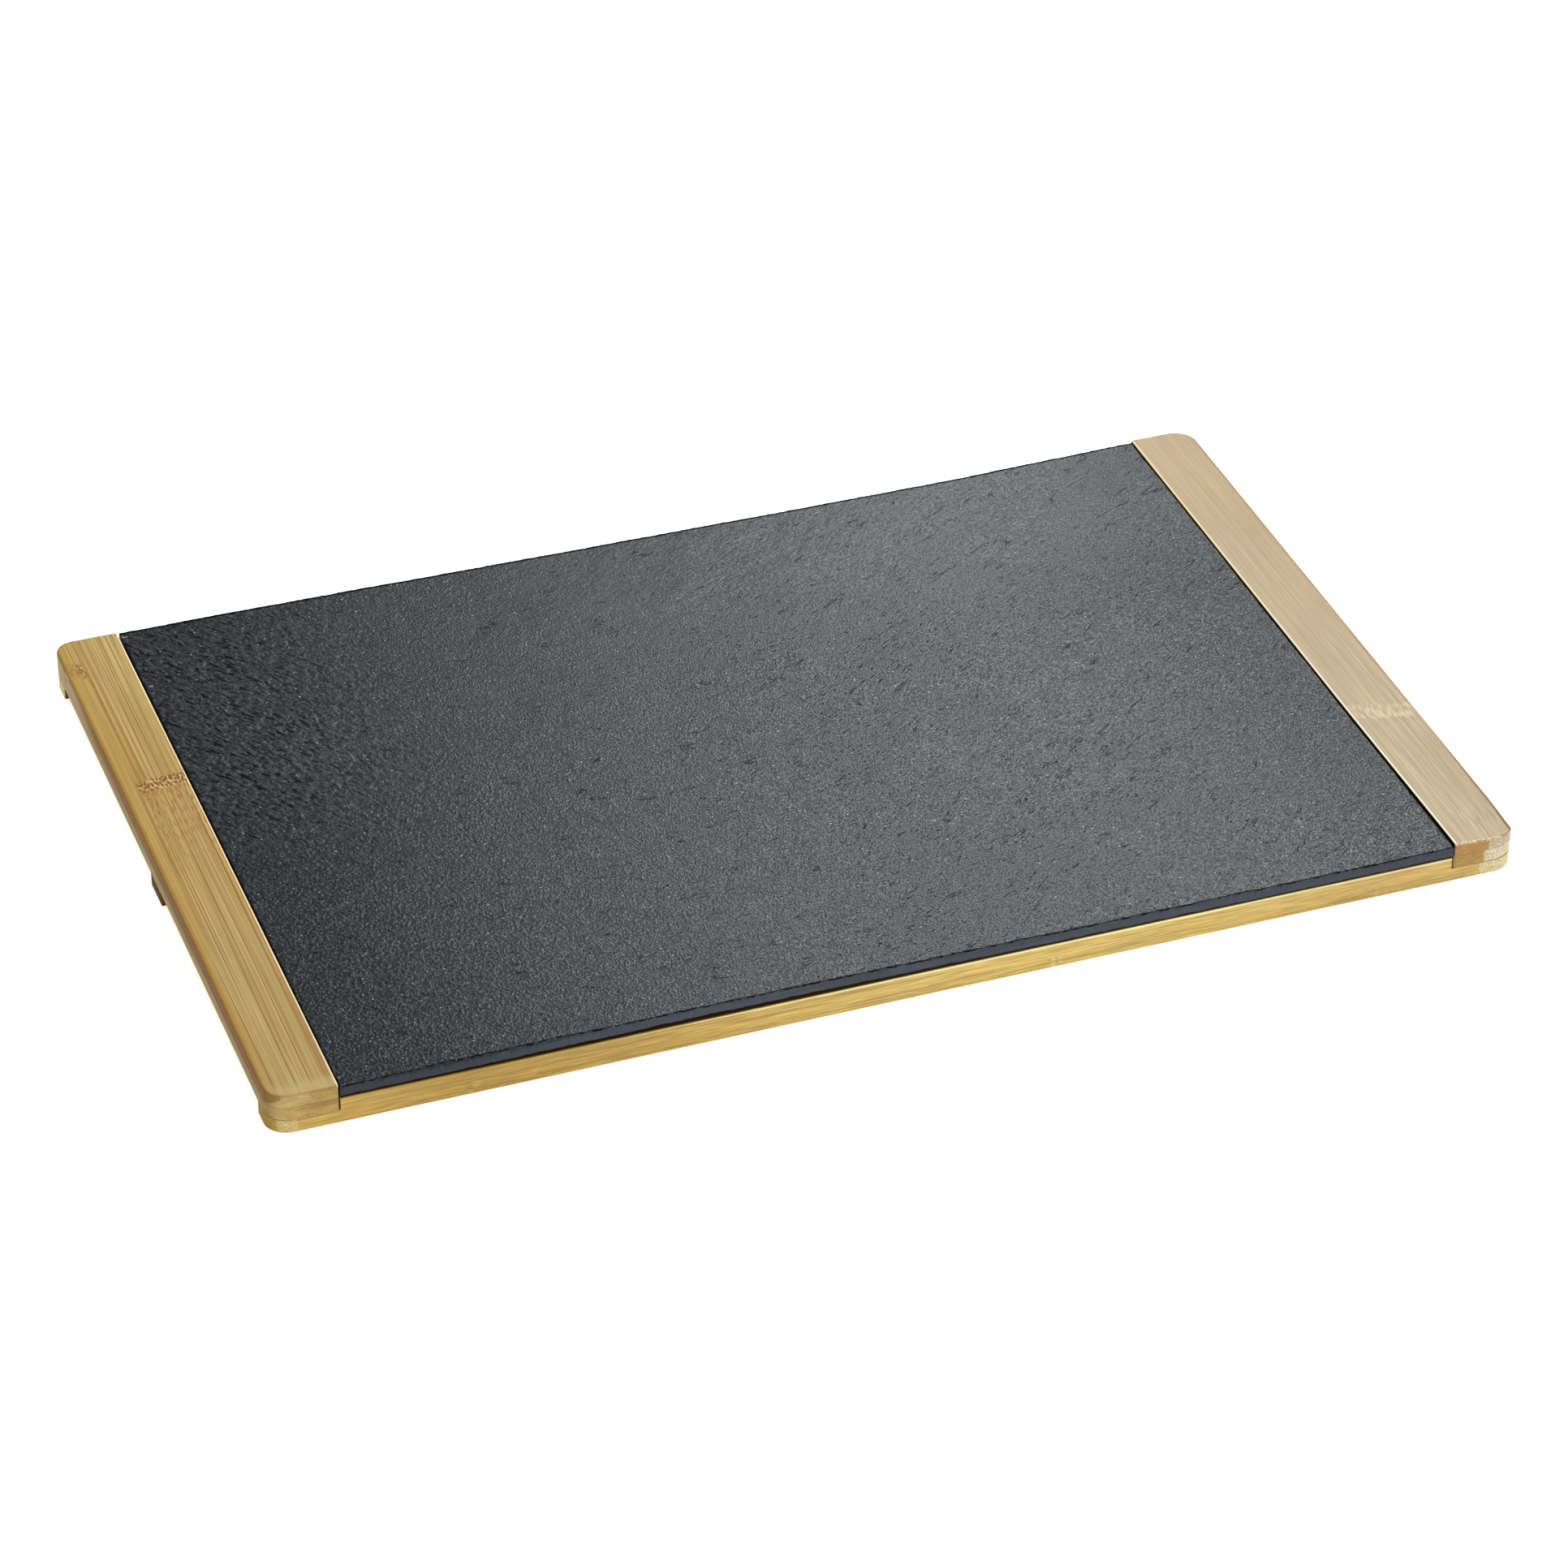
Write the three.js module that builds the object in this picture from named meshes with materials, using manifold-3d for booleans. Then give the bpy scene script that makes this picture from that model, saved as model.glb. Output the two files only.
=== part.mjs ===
// Buffet platter: a loose natural slate plate lying in a bamboo frame.
// Two laminated end rails (two plies each) are half-lapped onto three long
// battens. Between the battens each rail stands clear of the table, which
// leaves the finger gaps that the platter is lifted by.
//
// Millimetres, +Z up. Origin: centre of the footprint, on the table.
// +X runs along the length, to the right; +Y runs to the back.

import * as THREE from 'three';
import { mergeVertices } from 'three/addons/utils/BufferGeometryUtils.js';
import Module from 'manifold-3d';

// ---- driving dimensions -------------------------------------------------
const LENGTH = 470;            // over the outer faces of the end rails
const DEPTH = 300;             // front to back
const HEIGHT = 16;             // table to the top of the rails
const CORNER_R = 7.5;           // outer corners in plan, through every layer

const RAIL_W = 25;             // end rail, measured along X
const LAP_Z = 5.3;             // seat of the rails on the batten tongues
const PLY_T = (HEIGHT - LAP_Z) / 2; // two plies per rail
const RAIL_EASE = 0.8;         // eased top edges of the rails

const BATTEN_W = 15;           // front to back
const BATTEN_H = 10;
const BATTEN_EASE = 0.5;
const SHOULDER_GAP = 0.4;      // rail inner face to batten shoulder

const SLATE_GAP_X = 0.45;      // slate to rail, each end
const SLATE_SETBACK_Y = 0.4;   // slate edge behind the batten face
const SLATE_T = 4.5;
const SLATE_CHAMFER = 0.5;     // broken upper edge

const PAD_R = 5;               // silicone pads under the slate
const PAD_T = 0.5;
const PAD_X = 150;

const SCREW_HEAD_R = 3.4;
const SCREW_HEAD_Z = 0.6;      // head lies this far above the table
const SCREW_CONE_H = 2.0;
const SCREW_SHANK_R = 1.75;
const SCREW_TIP_Z = 12.8;
const SCREW_TAPER_H = 2.2;
const SCREW_CLEAR = 0.1;       // screw to wood
const RECESS_W = 0.9;          // cross recess in the head
const RECESS_L = 3.6;
const RECESS_D = 1.1;

// ---- derived ------------------------------------------------------------
const X_OUT = LENGTH / 2;
const X_IN = X_OUT - RAIL_W;
const Y_OUT = DEPTH / 2;
const PLY_Z = LAP_Z + PLY_T;
const SLATE_Z = BATTEN_H + PAD_T;
const SLATE_TOP = SLATE_Z + SLATE_T;
const BATTEN_Y = Y_OUT - BATTEN_W / 2;
const LAP_X = X_IN + RAIL_W / 2;
const ROUND_STEPS = 10;

// ---- materials ----------------------------------------------------------
const mat = (color, roughness, metalness = 0) =>
  new THREE.MeshStandardMaterial({ color, roughness, metalness });
const bambooUpper = mat(0xc9a877, 0.5);
const bambooLower = mat(0xcdb27a, 0.5);
const bambooBatten = mat(0xd6b468, 0.5);
const slateStone = mat(0x383d41, 0.75);
const silicone = mat(0xb9b6ae, 0.6);
const steel = mat(0x9a9a98, 0.35, 1);

// ---- helpers ------------------------------------------------------------
const wasm = await Module();
wasm.setup();

function toSolid(geometry) {
  const g = geometry.clone();
  g.deleteAttribute('normal');
  g.deleteAttribute('uv');
  const m = mergeVertices(g, 1e-5);
  return new wasm.Manifold(new wasm.Mesh({
    numProp: 3,
    vertProperties: new Float32Array(m.attributes.position.array),
    triVerts: new Uint32Array(m.index.array),
  }));
}

function toGeometry(solid) {
  const m = solid.getMesh();
  const g = new THREE.BufferGeometry();
  g.setAttribute('position', new THREE.BufferAttribute(new Float32Array(m.vertProperties), 3));
  g.setIndex(new THREE.BufferAttribute(new Uint32Array(m.triVerts), 1));
  g.computeVertexNormals();
  return g;
}

// Anticlockwise outline of a rectangle with one radius per corner
// (right-back, left-back, left-front, right-front), drawn in by `inset`.
function outline(x0, x1, y0, y1, radii, inset = 0) {
  const pts = [];
  const corner = (cx, cy, sx, sy, r, from) => {
    const n = r > 4 ? ROUND_STEPS : 3;
    const rr = r - inset;
    for (let i = 0; i <= n; i++) {
      const a = (from + (90 * i) / n) * Math.PI / 180;
      pts.push(new THREE.Vector2(cx - sx * r + rr * Math.cos(a), cy - sy * r + rr * Math.sin(a)));
    }
  };
  corner(x1, y1, 1, 1, radii[0], 0);
  corner(x0, y1, -1, 1, radii[1], 90);
  corner(x0, y0, -1, -1, radii[2], 180);
  corner(x1, y0, 1, -1, radii[3], 270);
  return pts;
}

// Closed prism through outlines of equal length: layers are [z, points].
function loft(layers) {
  const n = layers[0][1].length;
  const pos = [];
  for (const [z, pts] of layers) for (const p of pts) pos.push(p.x, p.y, z);
  const idx = [];
  for (let k = 0; k < layers.length - 1; k++) {
    for (let i = 0; i < n; i++) {
      const j = (i + 1) % n;
      const a = k * n + i, b = k * n + j, c = (k + 1) * n + j, d = (k + 1) * n + i;
      idx.push(a, b, c, a, c, d);
    }
  }
  const cap = (k, up) => {
    for (const [a, b, c] of THREE.ShapeUtils.triangulateShape(layers[k][1], [])) {
      if (up) idx.push(k * n + a, k * n + b, k * n + c);
      else idx.push(k * n + a, k * n + c, k * n + b);
    }
  };
  cap(0, false);
  cap(layers.length - 1, true);
  const g = new THREE.BufferGeometry();
  g.setAttribute('position', new THREE.Float32BufferAttribute(pos, 3));
  g.setIndex(idx);
  g.computeVertexNormals();
  return g;
}

// Surface of revolution about Z from [radius, z] pairs, lowest point first.
function turned(profile, segments = 20) {
  const g = new THREE.LatheGeometry(profile.map(([r, z]) => new THREE.Vector2(r, z)), segments);
  g.rotateX(Math.PI / 2);
  return g;
}

function box(x0, x1, y0, y1, z0, z1) {
  const g = new THREE.BoxGeometry(x1 - x0, y1 - y0, z1 - z0);
  g.translate((x0 + x1) / 2, (y0 + y1) / 2, (z0 + z1) / 2);
  return g;
}

const part = new THREE.Group();
function add(name, geometry, material, x = 0, y = 0, z = 0) {
  const mesh = new THREE.Mesh(geometry, material);
  mesh.name = name;
  mesh.position.set(x, y, z);
  part.add(mesh);
  return mesh;
}

// ---- screws and the holes they sit in -----------------------------------
const coneTop = SCREW_HEAD_Z + SCREW_CONE_H;
const screwProfile = [
  [0, SCREW_HEAD_Z],
  [SCREW_HEAD_R, SCREW_HEAD_Z],
  [SCREW_SHANK_R, coneTop],
  [SCREW_SHANK_R, SCREW_TIP_Z - SCREW_TAPER_H],
  [0, SCREW_TIP_Z],
];
const c = SCREW_CLEAR;
const holeProfile = [
  [0, -1],
  [SCREW_HEAD_R + c, -1],
  [SCREW_HEAD_R + c, SCREW_HEAD_Z],
  [SCREW_SHANK_R + c, coneTop + c],
  [SCREW_SHANK_R + c, SCREW_TIP_Z - SCREW_TAPER_H + c],
  [0, SCREW_TIP_Z + 2 * c],
];
const screwSolid = toSolid(turned(screwProfile))
  .subtract(toSolid(box(-RECESS_L / 2, RECESS_L / 2, -RECESS_W / 2, RECESS_W / 2, -1, SCREW_HEAD_Z + RECESS_D)))
  .subtract(toSolid(box(-RECESS_W / 2, RECESS_W / 2, -RECESS_L / 2, RECESS_L / 2, -1, SCREW_HEAD_Z + RECESS_D)));
const screwGeometry = toGeometry(screwSolid);
const holeAt = (x, y) => toSolid(turned(holeProfile).translate(x, y, 0));

const ends = [['left', -1], ['right', 1]];
const rows = [['front', -1], ['centre', 0], ['rear', 1]];

// ---- end rails: two plies each, drilled from below ----------------------
for (const [side, sx] of ends) {
  const x0 = sx < 0 ? -X_OUT : X_IN;
  const x1 = sx < 0 ? -X_IN : X_OUT;
  const small = RAIL_EASE + 0.2;
  const radii = sx < 0
    ? [small, CORNER_R, CORNER_R, small]
    : [CORNER_R, small, small, CORNER_R];
  const plan = (inset) => outline(x0, x1, -Y_OUT, Y_OUT, radii, inset);

  const topLayers = [[PLY_Z, plan(0)]];
  for (let i = 0; i <= 3; i++) {
    const a = (i * 30) * Math.PI / 180;
    topLayers.push([
      HEIGHT - RAIL_EASE + RAIL_EASE * Math.sin(a),
      plan(RAIL_EASE * (1 - Math.cos(a))),
    ]);
  }
  let upper = toSolid(loft(topLayers));
  let lower = toSolid(loft([[LAP_Z, plan(0)], [PLY_Z, plan(0)]]));
  for (const [, sy] of rows) {
    const hole = holeAt(sx * LAP_X, sy * BATTEN_Y);
    upper = upper.subtract(hole);
    lower = lower.subtract(hole);
  }
  add(`${side}_rail_upper_ply`, toGeometry(upper), bambooUpper);
  add(`${side}_rail_lower_ply`, toGeometry(lower), bambooLower);
}

// ---- battens: half-lapped ends, eased edges, rounded outer corners ------
for (const [row, sy] of rows) {
  const yc = sy * BATTEN_Y;
  const shoulder = X_IN - SHOULDER_GAP;

  // side elevation: full height between the shoulders, tongues at the ends
  const side = new THREE.Shape([
    [-X_OUT, 0], [X_OUT, 0], [X_OUT, LAP_Z], [shoulder, LAP_Z], [shoulder, BATTEN_H],
    [-shoulder, BATTEN_H], [-shoulder, LAP_Z], [-X_OUT, LAP_Z],
  ].map(([x, z]) => new THREE.Vector2(x, z)));
  const elevation = new THREE.ExtrudeGeometry(side, { depth: BATTEN_W + 2, bevelEnabled: false });
  elevation.rotateX(Math.PI / 2).translate(0, yc + BATTEN_W / 2 + 1, 0);

  // cross-section with eased long edges, run along X
  const e = BATTEN_EASE, w = BATTEN_W / 2, h = BATTEN_H;
  const k = e * (1 - Math.SQRT1_2);
  const section = new THREE.Shape([
    [-w + e, 0], [w - e, 0], [w - k, k], [w, e], [w, h - e], [w - k, h - k], [w - e, h],
    [-w + e, h], [-w + k, h - k], [-w, h - e], [-w, e], [-w + k, k],
  ].map(([y, z]) => new THREE.Vector2(y, z)));
  const run = new THREE.ExtrudeGeometry(section, { depth: LENGTH + 20, bevelEnabled: false });
  // section x -> +Y, section y -> +Z, depth -> +X
  run.applyMatrix4(new THREE.Matrix4().makeBasis(
    new THREE.Vector3(0, 1, 0), new THREE.Vector3(0, 0, 1), new THREE.Vector3(1, 0, 0)));
  run.translate(-(LENGTH + 20) / 2, yc, 0);

  let solid = toSolid(elevation).intersect(toSolid(run));
  if (sy !== 0) {
    const plan = outline(-X_OUT, X_OUT, -Y_OUT, Y_OUT, [CORNER_R, CORNER_R, CORNER_R, CORNER_R]);
    solid = solid.intersect(toSolid(loft([[-1, plan], [HEIGHT, plan]])));
  }
  for (const [, sx] of ends) solid = solid.subtract(holeAt(sx * LAP_X, yc));
  add(`${row}_batten`, toGeometry(solid), bambooBatten);
}

// ---- screws through the laps --------------------------------------------
for (const [side, sx] of ends) {
  for (const [row, sy] of rows) {
    add(`screw_${side}_${row}`, screwGeometry, steel, sx * LAP_X, sy * BATTEN_Y, 0);
  }
}

// ---- slate plate and its pads -------------------------------------------
{
  const x = X_IN - SLATE_GAP_X;
  const y = Y_OUT - SLATE_SETBACK_Y;
  const r = SLATE_CHAMFER + 0.3;
  const plan = (inset) => outline(-x, x, -y, y, [r, r, r, r], inset);
  add('slate_plate', loft([
    [SLATE_Z, plan(0)],
    [SLATE_TOP - SLATE_CHAMFER, plan(0)],
    [SLATE_TOP, plan(SLATE_CHAMFER)],
  ]), slateStone);

  for (const [side, sx] of ends) {
    for (const [row, sy] of rows) {
      const pad = new THREE.CylinderGeometry(PAD_R, PAD_R, PAD_T, 24);
      pad.rotateX(Math.PI / 2);
      add(`slate_pad_${side}_${row}`, pad, silicone, sx * PAD_X, sy * BATTEN_Y, BATTEN_H + PAD_T / 2);
    }
  }
}

export default part;
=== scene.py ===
import math

import bmesh
import bpy
import numpy as np
from mathutils import Matrix, Vector


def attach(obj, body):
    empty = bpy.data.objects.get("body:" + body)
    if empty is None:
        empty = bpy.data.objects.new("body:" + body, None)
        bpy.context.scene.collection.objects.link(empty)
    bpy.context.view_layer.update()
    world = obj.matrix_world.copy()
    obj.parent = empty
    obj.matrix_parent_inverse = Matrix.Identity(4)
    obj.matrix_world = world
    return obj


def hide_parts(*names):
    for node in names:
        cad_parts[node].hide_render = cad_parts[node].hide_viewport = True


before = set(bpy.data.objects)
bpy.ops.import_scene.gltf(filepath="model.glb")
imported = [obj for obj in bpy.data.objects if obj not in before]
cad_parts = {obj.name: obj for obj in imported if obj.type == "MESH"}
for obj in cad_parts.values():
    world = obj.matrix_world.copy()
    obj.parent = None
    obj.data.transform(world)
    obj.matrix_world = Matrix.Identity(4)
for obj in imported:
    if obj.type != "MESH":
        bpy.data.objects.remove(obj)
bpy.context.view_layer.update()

MM = 0.001

# ------------------------------------------------------------------ sizes (mm, same as the CAD)
LEN2, DEP2 = 235.0, 150.0
RAIL_IN, RAIL_MID = 210.0, 222.5
Z_LAP, Z_PLY, Z_TOP = 5.3, 10.65, 16.0
BAT_W, BAT_H, SHOULDER = 15.0, 10.0, 209.6
BAT_Y = {"front": -142.5, "centre": 0.0, "rear": 142.5}
SL_X, SL_Y, SL_Z0, SL_Z1 = 209.55, 149.6, 10.5, 15.0
PAD_X = 150.0
# plan radius of each outer corner, sanded by hand and so not quite alike, and the angle
# (degrees) at which the rounding stops short of the end face and leaves an arris
CORNER = {("left", "front"): (8.6, 0.0), ("right", "front"): (12.8, 42.3), ("left", "rear"): (7.0, 0.0), ("right", "rear"): (8.8, 0.0)}
# at the right front the sander was held at a slant and took less off the lower layers
CORNER_LOW = dict(CORNER)
CORNER_LOW[("right", "front")] = (12.0, 40.5)
CORNER_BATTEN = dict(CORNER)
CORNER_BATTEN[("right", "front")] = (10.4, 36.5)


def ramp01(v, lo, hi):
    t = np.clip((np.asarray(v, float) - lo) / (hi - lo), 0.0, 1.0)
    return t * t * (3 - 2 * t)


def lift_low(x, y):
    """How far the underside of the natural plate stands off its level (mm): bowed up along the front."""
    return ramp01(y, -60.0, -150.0) * 0.98 * np.exp(-((np.asarray(x, float) + 66.0) / 95.0) ** 2)


def lift_top(x, y):
    """The same for its split top, which also falls away towards the front corners."""
    f = ramp01(y, -60.0, -150.0)
    return 0.70 * (1 - f) + lift_low(x, y) - rear_drop(x) * ramp01(y, 20.0, 149.0)


def rear_drop(x):
    """The plate split thicker at its left rear corner and thinner along the rest of its rear edge (mm)."""
    return -0.30 + 1.05 * ramp01(x, -185.0, -45.0) * (1 - 0.7 * ramp01(x, 130.0, 205.0))


def rear_inset(x):
    """How far the rear edge is sawn in from a straight line (mm)."""
    return 1.3 * np.exp(-((np.asarray(x, float) - 95.0) / 110.0) ** 2)


# ------------------------------------------------------------------ seeded noise for the geometry
class Field:
    """Smooth 2-D gradient noise, the same on every run."""

    def __init__(self, seed):
        rng = np.random.RandomState(seed)
        self.p = rng.permutation(4096)
        a = rng.uniform(0, 2 * np.pi, 4096)
        self.gx, self.gy = np.cos(a), np.sin(a)

    def at(self, x, y):
        x, y = np.broadcast_arrays(np.asarray(x, float), np.asarray(y, float))
        xi, yi = np.floor(x).astype(int), np.floor(y).astype(int)
        fx, fy = x - xi, y - yi

        def dot(ix, iy, dx, dy):
            h = self.p[(self.p[ix & 4095] + iy) & 4095]
            return self.gx[h] * dx + self.gy[h] * dy

        u = fx * fx * fx * (fx * (fx * 6 - 15) + 10)
        v = fy * fy * fy * (fy * (fy * 6 - 15) + 10)
        a = dot(xi, yi, fx, fy) * (1 - u) + dot(xi + 1, yi, fx - 1, fy) * u
        b = dot(xi, yi + 1, fx, fy - 1) * (1 - u) + dot(xi + 1, yi + 1, fx - 1, fy - 1) * u
        return (a * (1 - v) + b * v) * 1.4

    def fbm(self, x, y, octaves=4, gain=0.5):
        t, amp, f = 0.0, 1.0, 1.0
        for k in range(octaves):
            t = t + amp * self.at(np.asarray(x) * f + 17.3 * k, np.asarray(y) * f - 9.1 * k)
            amp *= gain
            f *= 2.03
        return t


# ------------------------------------------------------------------ mesh helpers
def make(name, verts, faces, mats, index=None, sharp=32.0):
    """A mesh object from millimetre vertices, smooth shaded with edges kept crisp."""
    me = bpy.data.meshes.new(name)
    me.from_pydata([tuple(c * MM for c in v) for v in verts], [], faces)
    for m in mats:
        me.materials.append(m)
    if index is not None:
        me.polygons.foreach_set("material_index", np.asarray(index, np.int32))
    bm = bmesh.new()
    bm.from_mesh(me)
    bmesh.ops.recalc_face_normals(bm, faces=bm.faces)
    bm.to_mesh(me)
    bm.free()
    me.polygons.foreach_set("use_smooth", np.ones(len(me.polygons), bool))
    me.set_sharp_from_angle(angle=math.radians(sharp))
    me.update()
    ob = bpy.data.objects.new(name, me)
    bpy.context.scene.collection.objects.link(ob)
    return ob


def cut(ob, cutters, sharp=32.0):
    """Takes the cutters away from ob and leaves a clean mesh."""
    for c in cutters:
        m = ob.modifiers.new("cut", "BOOLEAN")
        m.operation = "DIFFERENCE"
        m.solver = "EXACT"
        m.object = c
    dg = bpy.context.evaluated_depsgraph_get()
    me = bpy.data.meshes.new_from_object(ob.evaluated_get(dg))
    ob.modifiers.clear()
    old = ob.data
    ob.data = me
    bpy.data.meshes.remove(old)
    for c in cutters:
        m = c.data
        bpy.data.objects.remove(c)
        bpy.data.meshes.remove(m)
    me.polygons.foreach_set("use_smooth", np.ones(len(me.polygons), bool))
    me.set_sharp_from_angle(angle=math.radians(sharp))
    me.update()
    return ob


def box_cutter(lo, hi):
    x0, y0, z0 = lo
    x1, y1, z1 = hi
    v = [(x0, y0, z0), (x1, y0, z0), (x1, y1, z0), (x0, y1, z0), (x0, y0, z1), (x1, y0, z1), (x1, y1, z1), (x0, y1, z1)]
    f = [(0, 3, 2, 1), (4, 5, 6, 7), (0, 1, 5, 4), (1, 2, 6, 5), (2, 3, 7, 6), (3, 0, 4, 7)]
    return make("cutter", v, f, [])


def lathe(name, profile, at, mats, n=32, sharp=32.0):
    """Turns (radius, z) points about a vertical axis; first and last points lie on the axis."""
    verts, faces = [], []
    rings = []
    for r, z in profile:
        if r < 1e-6:
            rings.append([len(verts)])
            verts.append((at[0], at[1], z))
        else:
            rings.append(list(range(len(verts), len(verts) + n)))
            for k in range(n):
                a = 2 * math.pi * k / n
                verts.append((at[0] + r * math.cos(a), at[1] + r * math.sin(a), z))
    for a, b in zip(rings[:-1], rings[1:]):
        for k in range(n):
            j = (k + 1) % n
            if len(a) == 1:
                faces.append((a[0], b[j], b[k]))
            elif len(b) == 1:
                faces.append((a[k], a[j], b[0]))
            else:
                faces.append((a[k], a[j], b[j], b[k]))
    return make(name, verts, faces, mats, sharp=sharp)


def screw_hole(x, y):
    """Countersunk clearance hole, from below the table face up past the screw tip."""
    c = 0.1
    prof = [(0, -1.0), (3.4 + c + 1.2, -1.0), (3.4 + c, 0.6), (3.4 + c, 0.95), (1.75 + c, 2.65), (1.75 + c, 10.6), (0.25, 13.0), (0, 13.0)]
    return lathe("cutter", prof, (x, y), [], n=40)


def ply(name, side, z0, z1, ease_top, ease_low, mats, seed):
    """One bamboo strip of an end rail. The plan has two sanded outer corners and crisp inner ones."""
    sg = -1.0 if side == "left" else 1.0
    table = CORNER if z1 > Z_PLY + 1 else CORNER_LOW
    (rf, cf), (rb, cb), ri = table[(side, "front")], table[(side, "rear")], 0.9
    cf, cb = math.radians(cf), math.radians(cb)
    width = LEN2 - RAIL_IN
    # work with s: 0 at the inner face, width at the outer face
    nf = 16
    th_f = [math.pi / 2 - (math.pi / 2 - cf) * k / nf for k in range(nf + 1)]
    th_b = [math.pi / 2 - (math.pi / 2 - cb) * k / nf for k in range(nf + 1)]
    rows = []                                                        # (y, s_in, n_in, s_out, n_out)

    def skew(y):
        """The right rail was planed a hair narrower towards the front."""
        return 0.5 * float(ramp01(-y, 50.0, 150.0)) if sg > 0 else 0.0

    def inner(y):
        for ye, d in ((-DEP2, -1.0), (DEP2, 1.0)):
            yc = ye - d * ri
            t = (y - yc) * d / ri
            if t > 0:
                t = min(t, 1.0)
                c = math.sqrt(max(0.0, 1 - t * t))
                return skew(y) + ri - ri * c, (-c, d * t)
        return skew(y), (-1.0, 0.0)

    for t in th_f:
        y = -DEP2 + rf - rf * math.sin(t)
        si, ni = inner(y)
        rows.append((y, si, ni, width - rf * math.cos(cf) + rf * math.cos(t), (math.cos(t), -math.sin(t))))
    n_mid = 110
    yf, yb = -DEP2 + rf - rf * math.sin(cf), DEP2 - rb + rb * math.sin(cb)
    for k in range(1, n_mid):
        y = yf + (yb - yf) * k / n_mid
        si, ni = inner(y)
        rows.append((y, si, ni, width, (1.0, 0.0)))
    for t in reversed(th_b):
        y = DEP2 - rb + rb * math.sin(t)
        si, ni = inner(y)
        rows.append((y, si, ni, width - rb * math.cos(cb) + rb * math.cos(t), (math.cos(t), math.sin(t))))
    m = 16
    ny = len(rows)
    # boundary loop: front row from inner to outer, outer side, back row, inner side
    loop = []
    for j in range(m + 1):
        s = rows[0][1] + (rows[0][3] - rows[0][1]) * j / m
        loop.append((s, rows[0][0], 0.0, -1.0))
    for i in range(1, ny - 1):
        loop.append((rows[i][3], rows[i][0], rows[i][4][0], rows[i][4][1]))
    for j in range(m, -1, -1):
        s = rows[-1][1] + (rows[-1][3] - rows[-1][1]) * j / m
        loop.append((s, rows[-1][0], 0.0, 1.0))
    for i in range(ny - 2, 0, -1):
        loop.append((rows[i][1], rows[i][0], rows[i][2][0], rows[i][2][1]))
    wob = Field(seed)
    verts, faces = [], []

    def worn(s, y):
        """The top of the right rail is sanded down a little towards its outer front corner."""
        if sg < 0 or z1 < Z_PLY + 1:
            return 0.0
        return 0.9 * float(ramp01(s, 2.0, 16.0) * ramp01(-y, 126.0, 150.0))

    def put(s, y, z):
        verts.append((sg * (RAIL_IN + s), y, z - (worn(s, y) if z > z1 - 1.0 else 0.0)))
        return len(verts) - 1

    def ring(inset, z):
        out = []
        for s, y, nx, nyy in loop:
            w = 0.05 * (wob.at(s / 6.0 + 3.1, y / 21.0) - 0.2) if inset > 0 else 0.0
            k = max(0.0, inset + (abs(w) if inset > 0.01 else 0.0))
            k *= 1.0 - 0.55 * max(0.0, -nx)                          # the inner arris is left crisper
            out.append(put(s - nx * k, y - nyy * k, z))
        return out

    def cap(r, z, up):
        """Fills a ring with a grid, gently uneven as sanded wood is."""
        grid = [[None] * (m + 1) for _ in range(ny)]
        for j in range(m + 1):
            grid[0][j] = r[j]
            grid[ny - 1][m - j] = r[m + 1 + (ny - 2) + j]
        for i in range(1, ny - 1):
            grid[i][m] = r[m + i]
            grid[i][0] = r[len(r) - i]
        for i in range(1, ny - 1):
            a, b = verts[grid[i][0]], verts[grid[i][m]]
            for j in range(1, m):
                x = a[0] + (b[0] - a[0]) * j / m
                y = a[1] + (b[1] - a[1]) * j / m
                e = min(1.0, min(j, m - j) / 3.0, min(i, ny - 1 - i) / 8.0)
                d = 0.07 * e * (0.6 + wob.at(x / 7.0, y / 45.0))
                verts.append((x, y, z - max(0.0, d) - worn(abs(x) - RAIL_IN, y) if up else z + max(0.0, d)))
                grid[i][j] = len(verts) - 1
        for i in range(ny - 1):
            for j in range(m):
                q = (grid[i][j], grid[i][j + 1], grid[i + 1][j + 1], grid[i + 1][j])
                faces.append(q if up else q[::-1])

    rings = []
    steps = 5
    for k in range(steps + 1):
        t = math.pi / 2 * k / steps
        rings.append(ring(ease_low * (1 - math.sin(t)), z0 + ease_low * (1 - math.cos(t))))
    for k in range(steps + 1):
        t = math.pi / 2 * k / steps
        rings.append(ring(ease_top * (1 - math.cos(t)), z1 - ease_top * (1 - math.sin(t))))
    n = len(loop)
    for a, b in zip(rings[:-1], rings[1:]):
        for k in range(n):
            j = (k + 1) % n
            faces.append((a[k], a[j], b[j], b[k]))
    cap(rings[0], z0, False)
    cap(rings[-1], z1, True)
    ob = make(name, verts, faces, mats)
    xs = sg * RAIL_MID
    if z0 < 12.9:
        cut(ob, [screw_hole(xs, y) for y in BAT_Y.values()])
    return ob


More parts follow.
